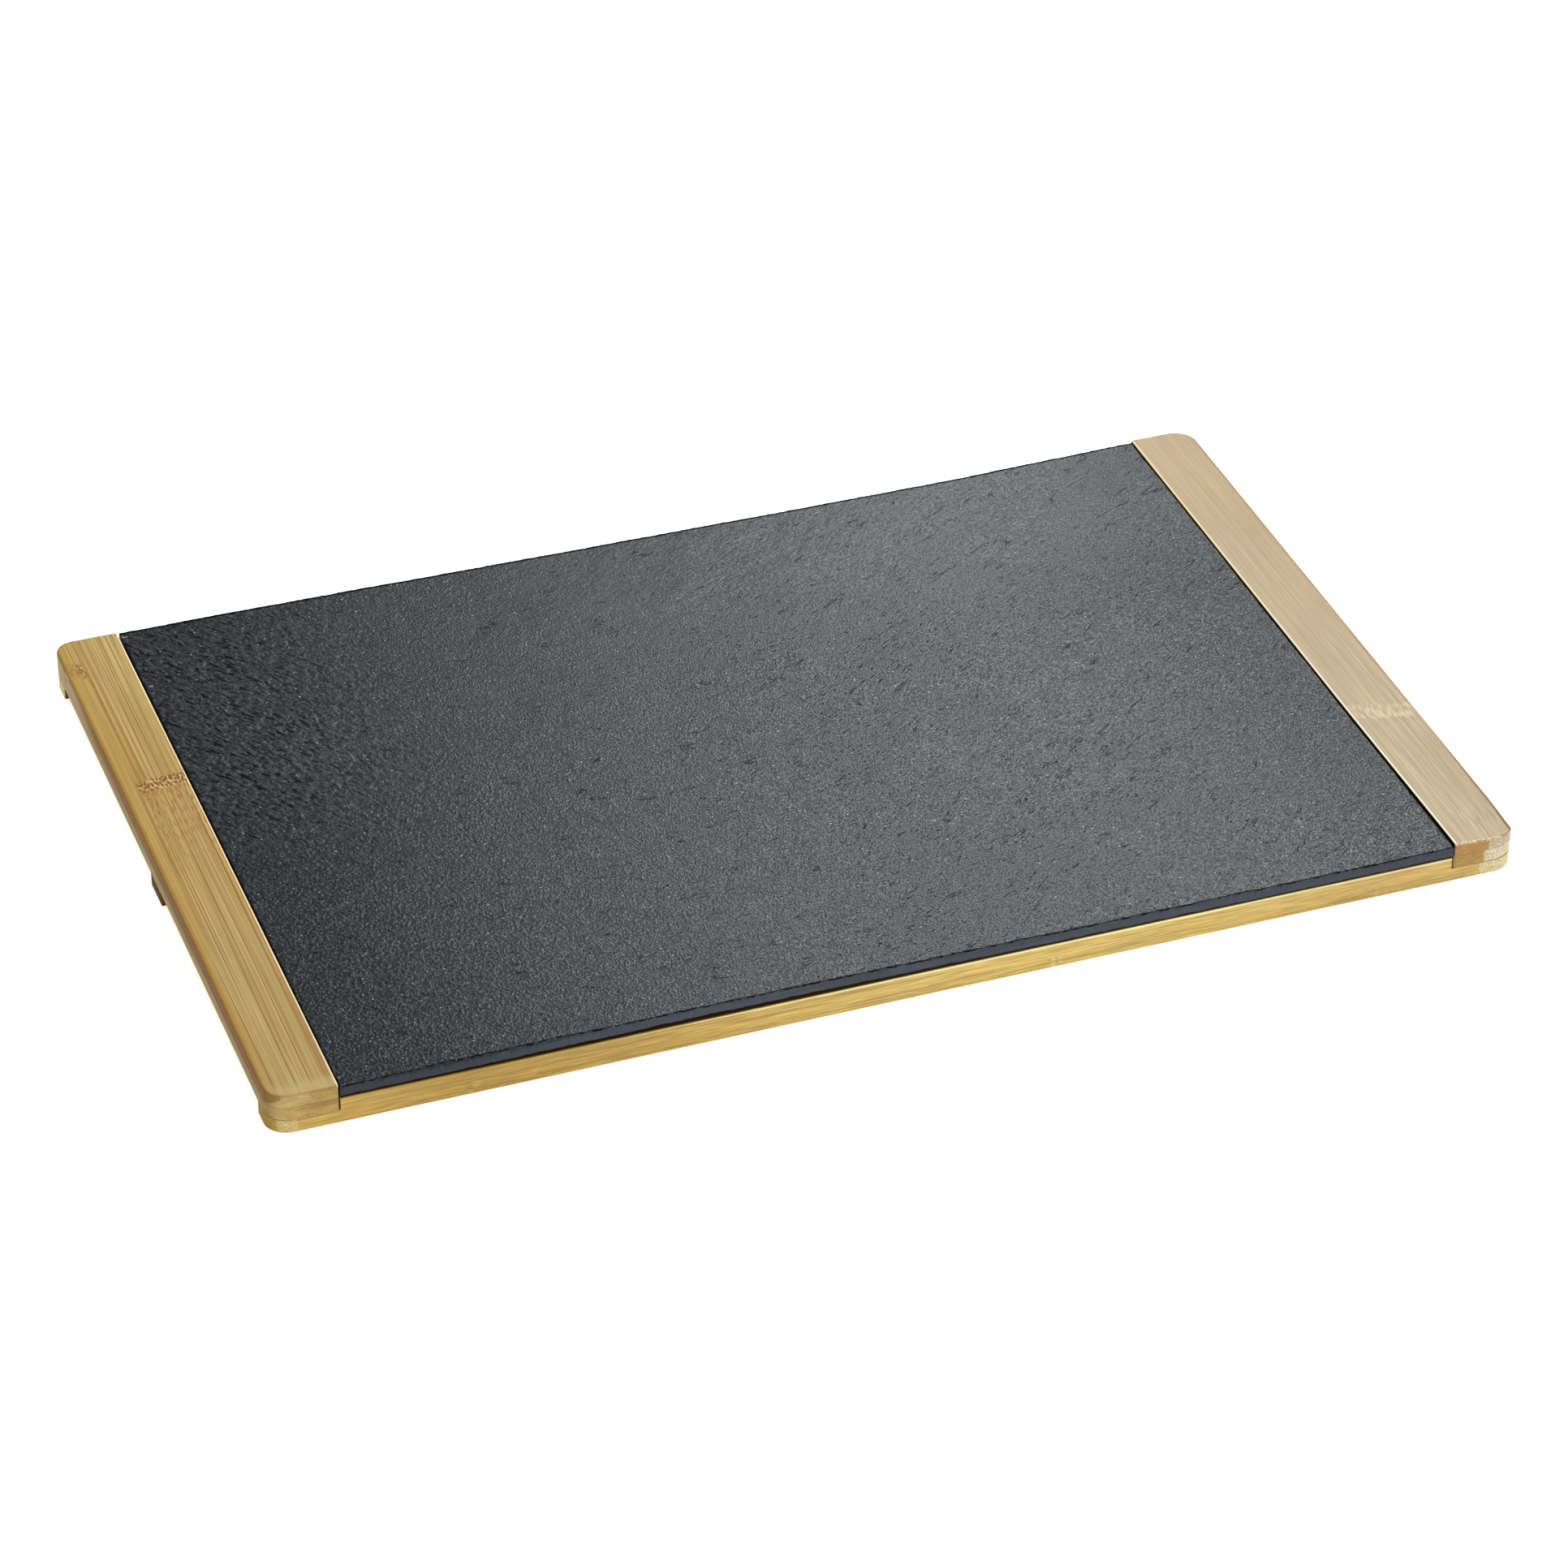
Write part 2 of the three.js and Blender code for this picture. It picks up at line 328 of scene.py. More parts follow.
def batten(name, which, mats, seed):
    """One long batten with eased edges, tongues at both ends and countersunk screw holes."""
    yc = BAT_Y[which]
    wob = Field(seed)
    e_up, e_lo = 0.55, 0.45
    radii = {}
    for side in ("left", "right"):
        small = (0.6, 0.0)
        if which == "front":
            radii[side] = (CORNER_BATTEN[(side, "front")], small)
        elif which == "rear":
            radii[side] = (small, CORNER_BATTEN[(side, "rear")])
        else:
            radii[side] = (small, small)

    def span(x):
        """Front and back y of the batten at x, after the plan corners are rounded."""
        side = "left" if x < 0 else "right"
        d = LEN2 - abs(x)
        cut_in = []
        for r, deg in radii[side]:
            k = r * math.cos(math.radians(deg)) - d
            cut_in.append(r - math.sqrt(max(0.0, r * r - k * k)) if k > 0 else 0.0)
        return yc - BAT_W / 2 + cut_in[0], yc + BAT_W / 2 - cut_in[1]

    offs = sorted({round(9.6 * (1 - math.sin(math.pi / 2 * k / 18)), 4) for k in range(19)} | {0.6, 0.35, 0.15})
    xs = [-LEN2 + d for d in offs]
    xs += list(np.linspace(-LEN2 + 10.2, LEN2 - 10.2, 120))
    xs += [LEN2 - d for d in reversed(offs)]
    seg = 5
    verts, rings = [], []

    def section(x, shrink):
        y0, y1 = span(x)
        y0, y1 = y0 + shrink, y1 - shrink
        z0, z1 = 0.0 + shrink, BAT_H - shrink
        out = []
        w = 0.06 * wob.at(x / 40.0, 2.7)
        for cy, cz, e, a0 in ((y0, z0, e_lo, 180), (y1, z0, e_lo, 270), (y1, z1, e_up, 0), (y0, z1, e_up, 90)):
            e = max(0.05, e + w * (1 if e == e_up else 0.5)) - min(shrink, e * 0.5)
            sy = 1 if cy == y0 else -1
            sz = 1 if cz == z0 else -1
            for k in range(seg + 1):
                a = math.radians(a0 + 90 * k / seg)
                out.append((x, cy + sy * e + e * math.cos(a), cz + sz * e + e * math.sin(a)))
        return out

    sec = []
    for x in xs:
        d = LEN2 - abs(x)
        sh = 0.0 if d >= 0.35 else 0.35 - math.sqrt(max(0.0, 0.35 ** 2 - (0.35 - d) ** 2))
        sec.append(section(x, sh))
    n = len(sec[0])
    for s in sec:
        rings.append(list(range(len(verts), len(verts) + n)))
        verts.extend(s)
    faces = []
    for a, b in zip(rings[:-1], rings[1:]):
        for k in range(n):
            j = (k + 1) % n
            faces.append((a[k], a[j], b[j], b[k]))
    faces.append(tuple(reversed(rings[0])))
    faces.append(tuple(rings[-1]))
    ob = make(name, verts, faces, mats)
    cutters = []
    for sg in (-1, 1):
        lo, hi = sorted((sg * SHOULDER, sg * (LEN2 + 5)))
        cutters.append(box_cutter((lo, yc - 20, Z_LAP), (hi, yc + 20, 20)))
        cutters.append(screw_hole(sg * RAIL_MID, yc))
    return cut(ob, cutters)


def slate_plate(name, mats):
    """Riven slate: uneven top and underside, four sawn edges, arrises chipped here and there."""
    nx, ny, fine = 240, 171, 3
    broad, layer, rip, edge, saw = Field(11), Field(23), Field(37), Field(41), Field(53)
    rot = math.radians(-0.04)
    shift_x, shift_y = 0.22, 0.0
    hx, hy, rim = SL_X, SL_Y, 1.5
    gx, gy = np.linspace(-hx + rim, hx - rim, nx + 1), np.linspace(-hy + rim, hy - rim, ny + 1)

    def relief(x, y, s):
        """Height of the split face, in mm: broad swells, thin clefts and a fine ripple."""
        h = 0.10 * broad.fbm(x / 85 + s, y / 60, 3)
        t = layer.fbm(x / 46 + s, y / 30 + 0.35 * broad.at(x / 30, y / 30), 5, 0.56) * 3.2
        q = np.floor(t)
        f = np.clip((t - q) / 0.16, 0, 1)
        h = h + 0.050 * (q + f * f * (3 - 2 * f))
        h = h + 0.045 * rip.fbm(x / 6.5 + s, y / 4.5, 2, 0.5)
        return h

    X, Y = np.meshgrid(gx, gy, indexing="ij")
    mean = relief(X, Y, 0.0).mean()

    def top_at(x, y):
        return SL_Z1 - 0.36 + lift_top(x, y) + np.clip(relief(x, y, 0.0) - mean, -0.30, 0.13)

    top = top_at(X, Y)
    # boundary of the grid, counter-clockwise from the front-left corner
    loop = [(i, 0) for i in range(nx)] + [(nx, j) for j in range(ny)]
    loop += [(i, ny) for i in range(nx, 0, -1)] + [(0, j) for j in range(ny, 0, -1)]
    nb = len(loop)
    # the sawn outline, with three points to each point of that boundary
    ox, oy, vx, vy = [], [], [], []
    for k in range(nb):
        (i0, j0), (i1, j1) = loop[k], loop[(k + 1) % nb]
        side = ((-1.0 if i0 == 0 else 1.0) if i0 == i1 else 0.0, (-1.0 if j0 == 0 else 1.0) if j0 == j1 else 0.0)
        corner = i0 in (0, nx) and j0 in (0, ny)
        for q in range(fine):
            t = q / fine
            ox.append((gx[i0] * (1 - t) + gx[i1] * t) * hx / (hx - rim))
            oy.append((gy[j0] * (1 - t) + gy[j1] * t) * hy / (hy - rim))
            turned = corner and q == 0
            vx.append((-1.0 if i0 == 0 else 1.0) if turned else side[0])
            vy.append((-1.0 if j0 == 0 else 1.0) if turned else side[1])
    ox, oy, vx, vy = (np.array(a) for a in (ox, oy, vx, vy))
    # sawn a hair out of square at the right front
    ox = ox + 0.5 * ramp01(-oy, 50.0, 150.0) * ramp01(ox, 150.0, 209.0)
    oy = oy - rear_inset(ox) * ramp01(oy, 60.0, 149.0)
    n = len(ox)
    gap = np.hypot(np.roll(ox, -1) - ox, np.roll(oy, -1) - oy)
    arc = np.concatenate([[0.0], np.cumsum(gap)[:-1]])
    per = float(gap.sum())
    rng = np.random.RandomState(5)
    long_side = np.where(vy < -0.5, 1.0, np.where(vy > 0.5, 0.35, 0.30))

    def nicks(count, w0, w1, d0, d1):
        out = np.zeros(n)
        for _ in range(count):
            c, w, d = rng.uniform(0, per), rng.uniform(w0, w1), rng.uniform(d0, d1)
            u = np.abs((arc - c + per / 2) % per - per / 2) / w
            out = np.maximum(out, d * np.clip(1 - u, 0, 1) ** 0.6)
        return out * long_side

    chip = np.maximum(nicks(420, 0.5, 1.7, 0.05, 0.42), nicks(46, 1.5, 4.5, 0.15, 0.6))
    low = np.maximum(nicks(360, 0.5, 1.8, 0.05, 0.40), nicks(50, 1.5, 4.5, 0.1, 0.6))
    # one long flake has come off the front arris, left of the middle
    flake = np.where(vy < -0.5, np.clip(1 - ((ox + 155.0) / 40.0) ** 4, 0, 1), 0.0)
    flake = flake * np.clip(0.85 + 0.5 * edge.fbm(arc / 9.0, 6.1, 3, 0.6), 0.3, 1.2)
    ragged = (0.20 * np.abs(edge.fbm(arc / 3.4, 0.5, 3, 0.6)) + 0.16 * np.abs(edge.at(arc / 1.3, 3.3))) * (0.4 + 0.6 * long_side)
    c_h = np.clip(0.20 + 1.1 * ragged + 0.9 * chip + 0.95 * flake, 0.12, 1.4)
    c_v = np.clip(0.34 + 1.0 * ragged + 0.8 * chip + 0.55 * flake, 0.30, 1.3)
    b_h = np.clip(0.10 + 0.4 * ragged + 0.7 * low, 0.06, 0.8)
    b_v = np.clip(0.12 + 0.4 * ragged + 0.8 * low, 0.08, 0.9)
    wave = 0.04 * saw.at(arc / 25.0, 0.2)

    verts, faces, index = [], [], []
    ca, sa = math.cos(rot), math.sin(rot)

    def put(x, y, z):
        verts.append((ca * x - sa * y + shift_x, sa * x + ca * y + shift_y, float(z)))
        return len(verts) - 1

    ids = np.zeros((nx + 1, ny + 1), int)
    for i in range(nx + 1):
        for j in range(ny + 1):
            ids[i, j] = put(gx[i], gy[j] - rear_inset(gx[i]) * ramp01(gy[j], 60.0, 149.0), top[i, j])
    for i in range(nx):
        for j in range(ny):
            faces.append((ids[i, j], ids[i + 1, j], ids[i + 1, j + 1], ids[i, j + 1]))
            index.append(0)

    def ring(off, z):
        return [put(ox[k] - vx[k] * (off[k] + wave[k]), oy[k] - vy[k] * (off[k] + wave[k]), z[k]) for k in range(n)]

    tz = top_at(ox - vx * c_h, oy - vy * c_h) - 0.02
    lip = 0.10 + 0.72 * np.clip(0.45 + 2.4 * edge.at(arc / 2.1, 8.8), 0, 1) * (0.30 + 0.70 * long_side)
    drop = 0.08 + 0.46 * np.clip(0.45 + 2.4 * edge.at(arc / 2.4, 2.4), 0, 1)
    c_v = np.maximum(c_v, drop + 0.05)
    bz = SL_Z0 + 0.02 + lift_low(ox, oy)
    r0 = ring(c_h, tz)
    r1 = ring(np.maximum(c_h - lip, 0.0), tz - drop)
    r2 = ring(np.zeros(n), tz - c_v)
    r3 = ring(np.zeros(n), bz + b_v)
    r4 = ring(b_h * 0.4, bz + b_v * 0.45)
    r5 = ring(b_h, bz)
    for k in range(nb):
        a, b = ids[loop[k]], ids[loop[(k + 1) % nb]]
        rim_pts = [r0[(fine * k + q) % n] for q in range(fine + 1)]
        faces.append((b, a, *rim_pts))
        index.append(0)

    def band(a, b, mat):
        for k in range(n):
            j = (k + 1) % n
            faces.append((a[j], a[k], b[k], b[j]))
            index.append(mat)

    band(r0, r1, 2)
    band(r1, r2, 1)
    band(r2, r3, 1)
    band(r3, r4, 2)
    band(r4, r5, 2)
    # underside: a coarser grid, joined to the fine edge
    bx, by = gx[::3].copy(), gy[::3].copy()
    for a in (bx, by):
        a[0] += 2.0
        a[-1] -= 2.0
    mx, my = len(bx) - 1, len(by) - 1
    BX, BY = np.meshgrid(bx, by, indexing="ij")
    und = relief(BX, BY, 31.7)
    und = SL_Z0 + 0.03 + lift_low(BX, BY) + np.clip(0.10 + und - und.mean(), 0.0, 0.35)
    bid = np.zeros((mx + 1, my + 1), int)
    for i in range(mx + 1):
        for j in range(my + 1):
            near, px, py = min((math.hypot(BX[i, j] - px, BY[i, j] - py), px, py) for px in (-PAD_X, PAD_X) for py in BAT_Y.values())
            bid[i, j] = put(BX[i, j], BY[i, j], SL_Z0 + 0.02 + float(lift_low(px, py)) if near < 9 else und[i, j])
    for i in range(mx):
        for j in range(my):
            faces.append((bid[i, j], bid[i, j + 1], bid[i + 1, j + 1], bid[i + 1, j]))
            index.append(0)
    bloop = [(i, 0) for i in range(mx)] + [(mx, j) for j in range(my)]
    bloop += [(i, my) for i in range(mx, 0, -1)] + [(0, j) for j in range(my, 0, -1)]
    for k in range(len(bloop)):
        a, b = bid[bloop[k]], bid[bloop[(k + 1) % len(bloop)]]
        faces.append((a, b, *[r5[(3 * fine * k + q) % n] for q in range(3 * fine, -1, -1)]))
        index.append(0)
    return make(name, verts, faces, mats, index, sharp=50.0)


def wood_screw(name, x, y, mats, turn):
    """Countersunk cross-recess wood screw, head down, with a cut thread above the plain shank."""
    prof = [(0, 0.6), (2.9, 0.6), (3.25, 0.66), (3.4, 0.78), (3.4, 0.9), (1.75, 2.6), (1.72, 5.0), (1.66, 5.2)]
    z, k = 5.2, 0
    while z < 10.3:
        prof += [(1.32, z + 0.12), (1.34, z + 0.42), (1.73, z + 0.52), (1.73, z + 0.58)]
        z += 0.62
    prof += [(1.3, 10.7), (0.75, 11.8), (0.12, 12.75), (0, 12.8)]
    ob = lathe(name, prof, (x, y), mats, n=36)
    c, s = math.cos(turn), math.sin(turn)
    cutters = []
    for q in (0.0, math.pi / 2):
        cc, ss = math.cos(turn + q), math.sin(turn + q)
        v = []
        for zz, hw, hl in ((0.3, 0.5, 1.9), (1.7, 0.28, 1.05)):
            for a, b in ((-hl, -hw), (hl, -hw), (hl, hw), (-hl, hw)):
                v.append((x + a * cc - b * ss, y + a * ss + b * cc, zz))
        f = [(0, 3, 2, 1), (4, 5, 6, 7), (0, 1, 5, 4), (1, 2, 6, 5), (2, 3, 7, 6), (3, 0, 4, 7)]
        cutters.append(make("cutter", v, f, []))
    return cut(ob, cutters)


def pad(name, x, y, mats, seed):
    """A thin soft disc with a rounded rim, squeezed more where the plate lies lower."""
    t = SL_Z0 - BAT_H + float(lift_low(x, y))
    prof = [(0, 0.0), (4.55, 0.0), (4.8, 0.10), (4.95, 0.32), (5.0, 0.54), (4.95, 0.76), (4.8, 0.94), (4.6, 1.0), (0, 1.0)]
    prof = [(r, BAT_H + t * k) for r, k in prof]
    return lathe(name, prof, (x, y), mats, n=48)


# ------------------------------------------------------------------ shader helpers
class Nodes:
    """Short names for building a node material."""

    def __init__(self, name):
        self.mat = bpy.data.materials.new(name)
        self.mat.use_nodes = True
        self.t = self.mat.node_tree
        self.t.nodes.clear()
        self.out = self.t.nodes.new("ShaderNodeOutputMaterial")
        self.bsdf = self.t.nodes.new("ShaderNodeBsdfPrincipled")
        self.t.links.new(self.bsdf.outputs[0], self.out.inputs[0])
        tc = self.t.nodes.new("ShaderNodeTexCoord")
        self.normal = tc.outputs["Normal"]
        self.p = self.vmul(tc.outputs["Object"], (1000, 1000, 1000))

    def node(self, kind, **props):
        nd = self.t.nodes.new(kind)
        for k, v in props.items():
            setattr(nd, k, v)
        return nd

    def put(self, sock, v):
        if isinstance(v, bpy.types.NodeSocket):
            self.t.links.new(v, sock)
        else:
            sock.default_value = v

    def m(self, op, a, b=None, c=None, clamp=False):
        nd = self.node("ShaderNodeMath", operation=op, use_clamp=clamp)
        self.put(nd.inputs[0], a)
        if b is not None:
            self.put(nd.inputs[1], b)
        if c is not None:
            self.put(nd.inputs[2], c)
        return nd.outputs[0]

    def vmul(self, a, v):
        nd = self.node("ShaderNodeVectorMath", operation="MULTIPLY")
        self.put(nd.inputs[0], a)
        nd.inputs[1].default_value = v
        return nd.outputs[0]

    def vadd(self, a, b):
        nd = self.node("ShaderNodeVectorMath", operation="ADD")
        self.put(nd.inputs[0], a)
        self.put(nd.inputs[1], b)
        return nd.outputs[0]

    def sep(self, v):
        nd = self.node("ShaderNodeSeparateXYZ")
        self.put(nd.inputs[0], v)
        return nd.outputs[0], nd.outputs[1], nd.outputs[2]

    def comb(self, x, y, z):
        nd = self.node("ShaderNodeCombineXYZ")
        for s, v in zip(nd.inputs, (x, y, z)):
            self.put(s, v)
        return nd.outputs[0]

    def noise(self, vec, detail=2.0, rough=0.5, distortion=0.0):
        nd = self.node("ShaderNodeTexNoise")
        nd.noise_dimensions = "3D"
        self.put(nd.inputs["Vector"], vec)
        nd.inputs["Scale"].default_value = 1.0
        nd.inputs["Detail"].default_value = detail
        nd.inputs["Roughness"].default_value = rough
        nd.inputs["Distortion"].default_value = distortion
        return nd.outputs["Fac"]

    def cells(self, vec, randomness=1.0):
        nd = self.node("ShaderNodeTexVoronoi", feature="F1", voronoi_dimensions="2D")
        self.put(nd.inputs["Vector"], vec)
        nd.inputs["Scale"].default_value = 1.0
        nd.inputs["Randomness"].default_value = randomness
        return nd

    def step(self, x, lo, hi, a=0.0, b=1.0):
        nd = self.node("ShaderNodeMapRange", interpolation_type="SMOOTHSTEP")
        self.put(nd.inputs["Value"], x)
        nd.inputs["From Min"].default_value = lo
        nd.inputs["From Max"].default_value = hi
        nd.inputs["To Min"].default_value = a
        nd.inputs["To Max"].default_value = b
        return nd.outputs["Result"]

    def mix(self, fac, a, b, blend="MIX"):
        nd = self.node("ShaderNodeMix", data_type="RGBA", blend_type=blend)
        self.put(nd.inputs[0], fac)
        for s, v in ((nd.inputs[6], a), (nd.inputs[7], b)):
            self.put(s, v if isinstance(v, bpy.types.NodeSocket) else (*v[:3], 1.0))
        return nd.outputs[2]

    def ramp(self, fac, stops):
        nd = self.node("ShaderNodeValToRGB")
        cr = nd.color_ramp
        while len(cr.elements) < len(stops):
            cr.elements.new(0.5)
        for el, (pos, c) in zip(cr.elements, stops):
            el.position = pos
            el.color = (*c[:3], 1.0)
        self.put(nd.inputs[0], fac)
        return nd.outputs[0]

    def gain(self, col, k):
        """Scales a colour by a number from the nodes."""
        nd = self.node("ShaderNodeVectorMath", operation="SCALE")
        self.put(nd.inputs[0], col)
        self.put(nd.inputs["Scale"], k)
        return nd.outputs[0]

    def bump(self, height, strength, distance, normal=None):
        nd = self.node("ShaderNodeBump")
        nd.inputs["Strength"].default_value = strength
        nd.inputs["Distance"].default_value = distance
        self.put(nd.inputs["Height"], height)
        if normal is not None:
            self.put(nd.inputs["Normal"], normal)
        return nd.outputs[0]

    def finish(self, color, rough, normal=None, **consts):
        self.put(self.bsdf.inputs["Base Color"], color)
        self.put(self.bsdf.inputs["Roughness"], rough)
        if normal is not None:
            self.put(self.bsdf.inputs["Normal"], normal)
        for k, v in consts.items():
            self.bsdf.inputs[k.replace("_", " ")].default_value = v
        return self.mat


def srgb(r, g, b):
    f = lambda c: c / 12.92 if c <= 0.04045 else ((c + 0.055) / 1.055) ** 2.4
    return tuple(f(c / 255.0) for c in (r, g, b))


def bamboo(name, axis, seed, tones, line, cream, end_col, end_dot, side_col, corner=(), end_at=(0.45, 0.95), knots=(), edge=None, margin=None, pale=(), fine=1.5, lines=0.6, calm=None, knot_col=None, run=1.0, side_far=None, inner=None, under_shade=None, fade=None, dotted=0.25, band=None, cast=None, thin=None):
    """Oiled bamboo: long fibre streaks, tonal bands, knuckle rows and dotted end grain."""
    g = Nodes(name)
    x, y, z = g.sep(g.p)
    nx, ny, nz = g.sep(g.normal)
    ax, ay, az = g.m("ABSOLUTE", nx), g.m("ABSOLUTE", ny), g.m("ABSOLUTE", nz)
    u, v = (y, x) if axis == "y" else (x, y)
    end = g.step(ay if axis == "y" else ax, *end_at)
    raw = g.comb(u, v, z)
    base = g.vadd(raw, (seed * 37.0 + 11.0, seed * 13.0 + 5.0, seed * 7.0 + 3.0))
    drift = g.m("SUBTRACT", g.noise(g.vmul(base, (1 / 160, 1 / 24, 1 / 24)), 0.0), 0.5)
    G = g.vadd(base, g.comb(0.0, g.m("MULTIPLY", drift, 1.2), g.m("MULTIPLY", drift, 0.6)))

    # broad tonal bands along the grain, then the tone of the long side faces
    tone = g.noise(g.vmul(G, (1 / 260, 1 / 3.6, 1 / 3.6)), 2.0, 0.55)
    col = g.ramp(tone, [(0.30, tones[0]), (0.43, tones[1]), (0.53, tones[0]), (0.60, tones[2]), (0.72, tones[1])])
    sc = side_col
    if side_far:
        sc = g.mix(g.step(y, side_far[0], side_far[1]), side_col, side_far[2])
    shade = g.gain(g.mix(0.0, sc, sc), g.m("MULTIPLY_ADD", g.m("SUBTRACT", tone, 0.5), 0.5, 1.0))
    col = g.mix(g.step(ax if axis == "y" else ay, 0.50, 0.90, 0.0, 0.9), col, shade)
    # fibres
    fib = g.noise(g.vmul(G, (1 / (36 * run), 1 / 0.50, 1 / 0.50)), 1.5, 0.6)
    fdev = g.m("SUBTRACT", fib, 0.5)
    col = g.gain(col, g.m("POWER", 2.718, g.m("MULTIPLY", fdev, fine)))
    # thin brown vessel lines and pale ones, gathered in loose groups
    n1 = g.noise(g.vmul(G, (1 / (62 * run), 1 / 0.62, 1 / 0.62)), 0.5, 0.4)
    b1 = g.step(g.noise(g.vmul(g.vadd(G, (31.0, 7.0, 19.0)), (1 / 110, 1 / 4.0, 1 / 4.0)), 1.0), 0.42, 0.58, 0.1, 1.0)
    k1 = g.m("MULTIPLY", g.m("MULTIPLY", g.step(n1, 0.62, 0.645), b1), lines * 0.8)
    n2 = g.noise(g.vmul(g.vadd(G, (91.0, 47.0, 13.0)), (1 / (52 * run), 1 / 0.58, 1 / 0.58)), 0.5, 0.4)
    k2 = g.m("MULTIPLY", g.step(n2, 0.62, 0.66), lines * 0.6)
    n3 = g.noise(g.vmul(g.vadd(G, (3.0, 77.0, 51.0)), (1 / (150 * run), 1 / 0.72, 1 / 0.72)), 0.0, 0.4)
    k3 = g.m("MULTIPLY", g.step(n3, 0.652, 0.668), lines)
    if calm:
        quiet = g.step(g.m("MULTIPLY", x, calm[0]), calm[1], calm[2], 1.0, calm[3])
        k1, k2 = g.m("MULTIPLY", k1, quiet), g.m("MULTIPLY", k2, quiet)
    if thin:
        # fewer and fainter lines towards the far end
        few = g.step(u, thin[0], thin[1], 1.0, thin[2])
        k1, k3 = g.m("MULTIPLY", k1, few), g.m("MULTIPLY", k3, few)
    if fade:
        # worn pale near the end, where the sander ran over it
        worn = g.m("ADD", g.m("MULTIPLY", y, fade[0]), g.m("MULTIPLY", fdev, 5.0))
        keep = g.step(worn, fade[1], fade[2], 1.0, 0.25)
        k1, k2, k3 = g.m("MULTIPLY", k1, keep), g.m("MULTIPLY", k2, keep), g.m("MULTIPLY", k3, keep)
        col = g.mix(g.step(worn, fade[1], fade[2], 0.0, 0.7), col, fade[3])
    col = g.mix(k2, col, cream)
    k1 = g.m("MAXIMUM", k1, k3)
    col = g.mix(k1, col, line)

    knot_h = None
    for kind, u0, slope, v0, v1, half, strength, tail in knots:
        vc = 0.5 * (v0 + v1)
        size, teeth, shine = {"teeth": ((2.7, 1.15), 1.0, 0.9), "curl": ((3.9, 2.2), 0.9, 0.3), "strokes": ((7.5, 0.52), 0.35, 1.0), "dash": ((3.0, 1.1), 0.2, 1.0)}[kind]
        wander = g.m("MULTIPLY", g.m("SUBTRACT", g.noise(g.comb(1.7 * seed + u0, g.m("MULTIPLY", v, 0.30), g.m("MULTIPLY", z, 0.30)), 2.0), 0.5), 0.8 if kind == "curl" else 3.0)
        t = g.m("ADD", g.m("SUBTRACT", u, g.m("MULTIPLY_ADD", g.m("SUBTRACT", v, vc), slope, u0)), wander)
        at = g.m("ABSOLUTE", t)
        inside = g.m("MULTIPLY", g.step(v, v0 - 0.8, v0 + 0.8), g.step(v, v1 - 0.8, v1 + 0.8, 1.0, 0.0))
        if kind == "dash":
            inside = g.m("MULTIPLY", inside, g.step(z, 4.0, 6.5, 1.0, 0.0))
        belt = g.m("MULTIPLY", g.step(at, half * 0.75, half * 1.25, 1.0, 0.0), inside)
        grid = g.vmul(g.comb(u, g.m("ADD", v, z), 0.0), (1 / size[0], 1 / size[1], 0.0))
        dark = g.cells(grid, 0.55 if kind == "curl" else 0.9).outputs["Distance"]
        lit = g.cells(g.vadd(grid, (0.5, 0.5, 0.0)), 0.9).outputs["Distance"]
        col = g.mix(g.m("MULTIPLY", belt, strength * 0.35), col, tones[2])
        col = g.mix(g.m("MULTIPLY", belt, g.step(lit, 0.28, 0.48, strength * shine, 0.0)), col, cream)
        mark = g.step(dark, *((0.34, 0.48) if kind == "teeth" else (0.26, 0.44)), strength * teeth, 0.0)
        if kind == "curl":
            swirl = g.noise(g.vmul(g.vadd(raw, (seed * 3.3, 0.0, 0.0)), (1 / 4.4, 1 / 2.6, 1 / 2.6)), 1.5, 0.5)
            mark = g.step(g.m("ABSOLUTE", g.m("SUBTRACT", swirl, 0.52)), 0.025, 0.075, strength, 0.0)
        col = g.mix(g.m("MULTIPLY", belt, mark), col, knot_col or line)
        # beside a knuckle the fibres break up into short dashes, more on one side
        beside = g.m("MULTIPLY", g.m("MULTIPLY", g.step(t, -tail, -tail * 0.35), g.step(t, 1.0, 7.0, 1.0, 0.0)), inside)
        dash = g.cells(g.vmul(g.comb(u, g.m("ADD", v, z), 0.0), (1 / 7.4, 1 / 0.78, 0.0)), 1.0)
        pick = g.step(g.sep(dash.outputs["Color"])[0], 0.25, 0.40)
        dk = g.m("MULTIPLY", g.step(dash.outputs["Distance"], 0.18, 0.34, 1.0, 0.0), pick)
        col = g.mix(g.m("MULTIPLY", g.m("MULTIPLY", beside, dk), strength * 0.75), col, line)
        kh = g.m("MULTIPLY", belt, g.m("SUBTRACT", dark, 0.4))
        knot_h = kh if knot_h is None else g.m("ADD", knot_h, kh)
    gloss = 0.02 if under_shade else g.step(ax, 0.50, 0.90, 0.45, 0.02)
    for sgn, m0, m1, mcol, amount in margin or ():
        mm = g.m("ADD", g.m("MULTIPLY", x, sgn), g.m("MULTIPLY", g.m("SUBTRACT", tone, 0.5), 3.0 if sgn < 0 else 0.8))
        if sgn > 0:
            mm = g.m("ADD", mm, g.step(y, -150.0, -70.0, 0.8, 0.0))
        mk = g.m("MULTIPLY", g.step(mm, m0, m1, 0.0, amount), g.step(nz, 0.10, 0.40))
        col = g.mix(mk, col, mcol)
        if sgn > 0:
            gloss = g.m("MULTIPLY", gloss, g.m("MULTIPLY_ADD", mk, -0.95, 1.0))

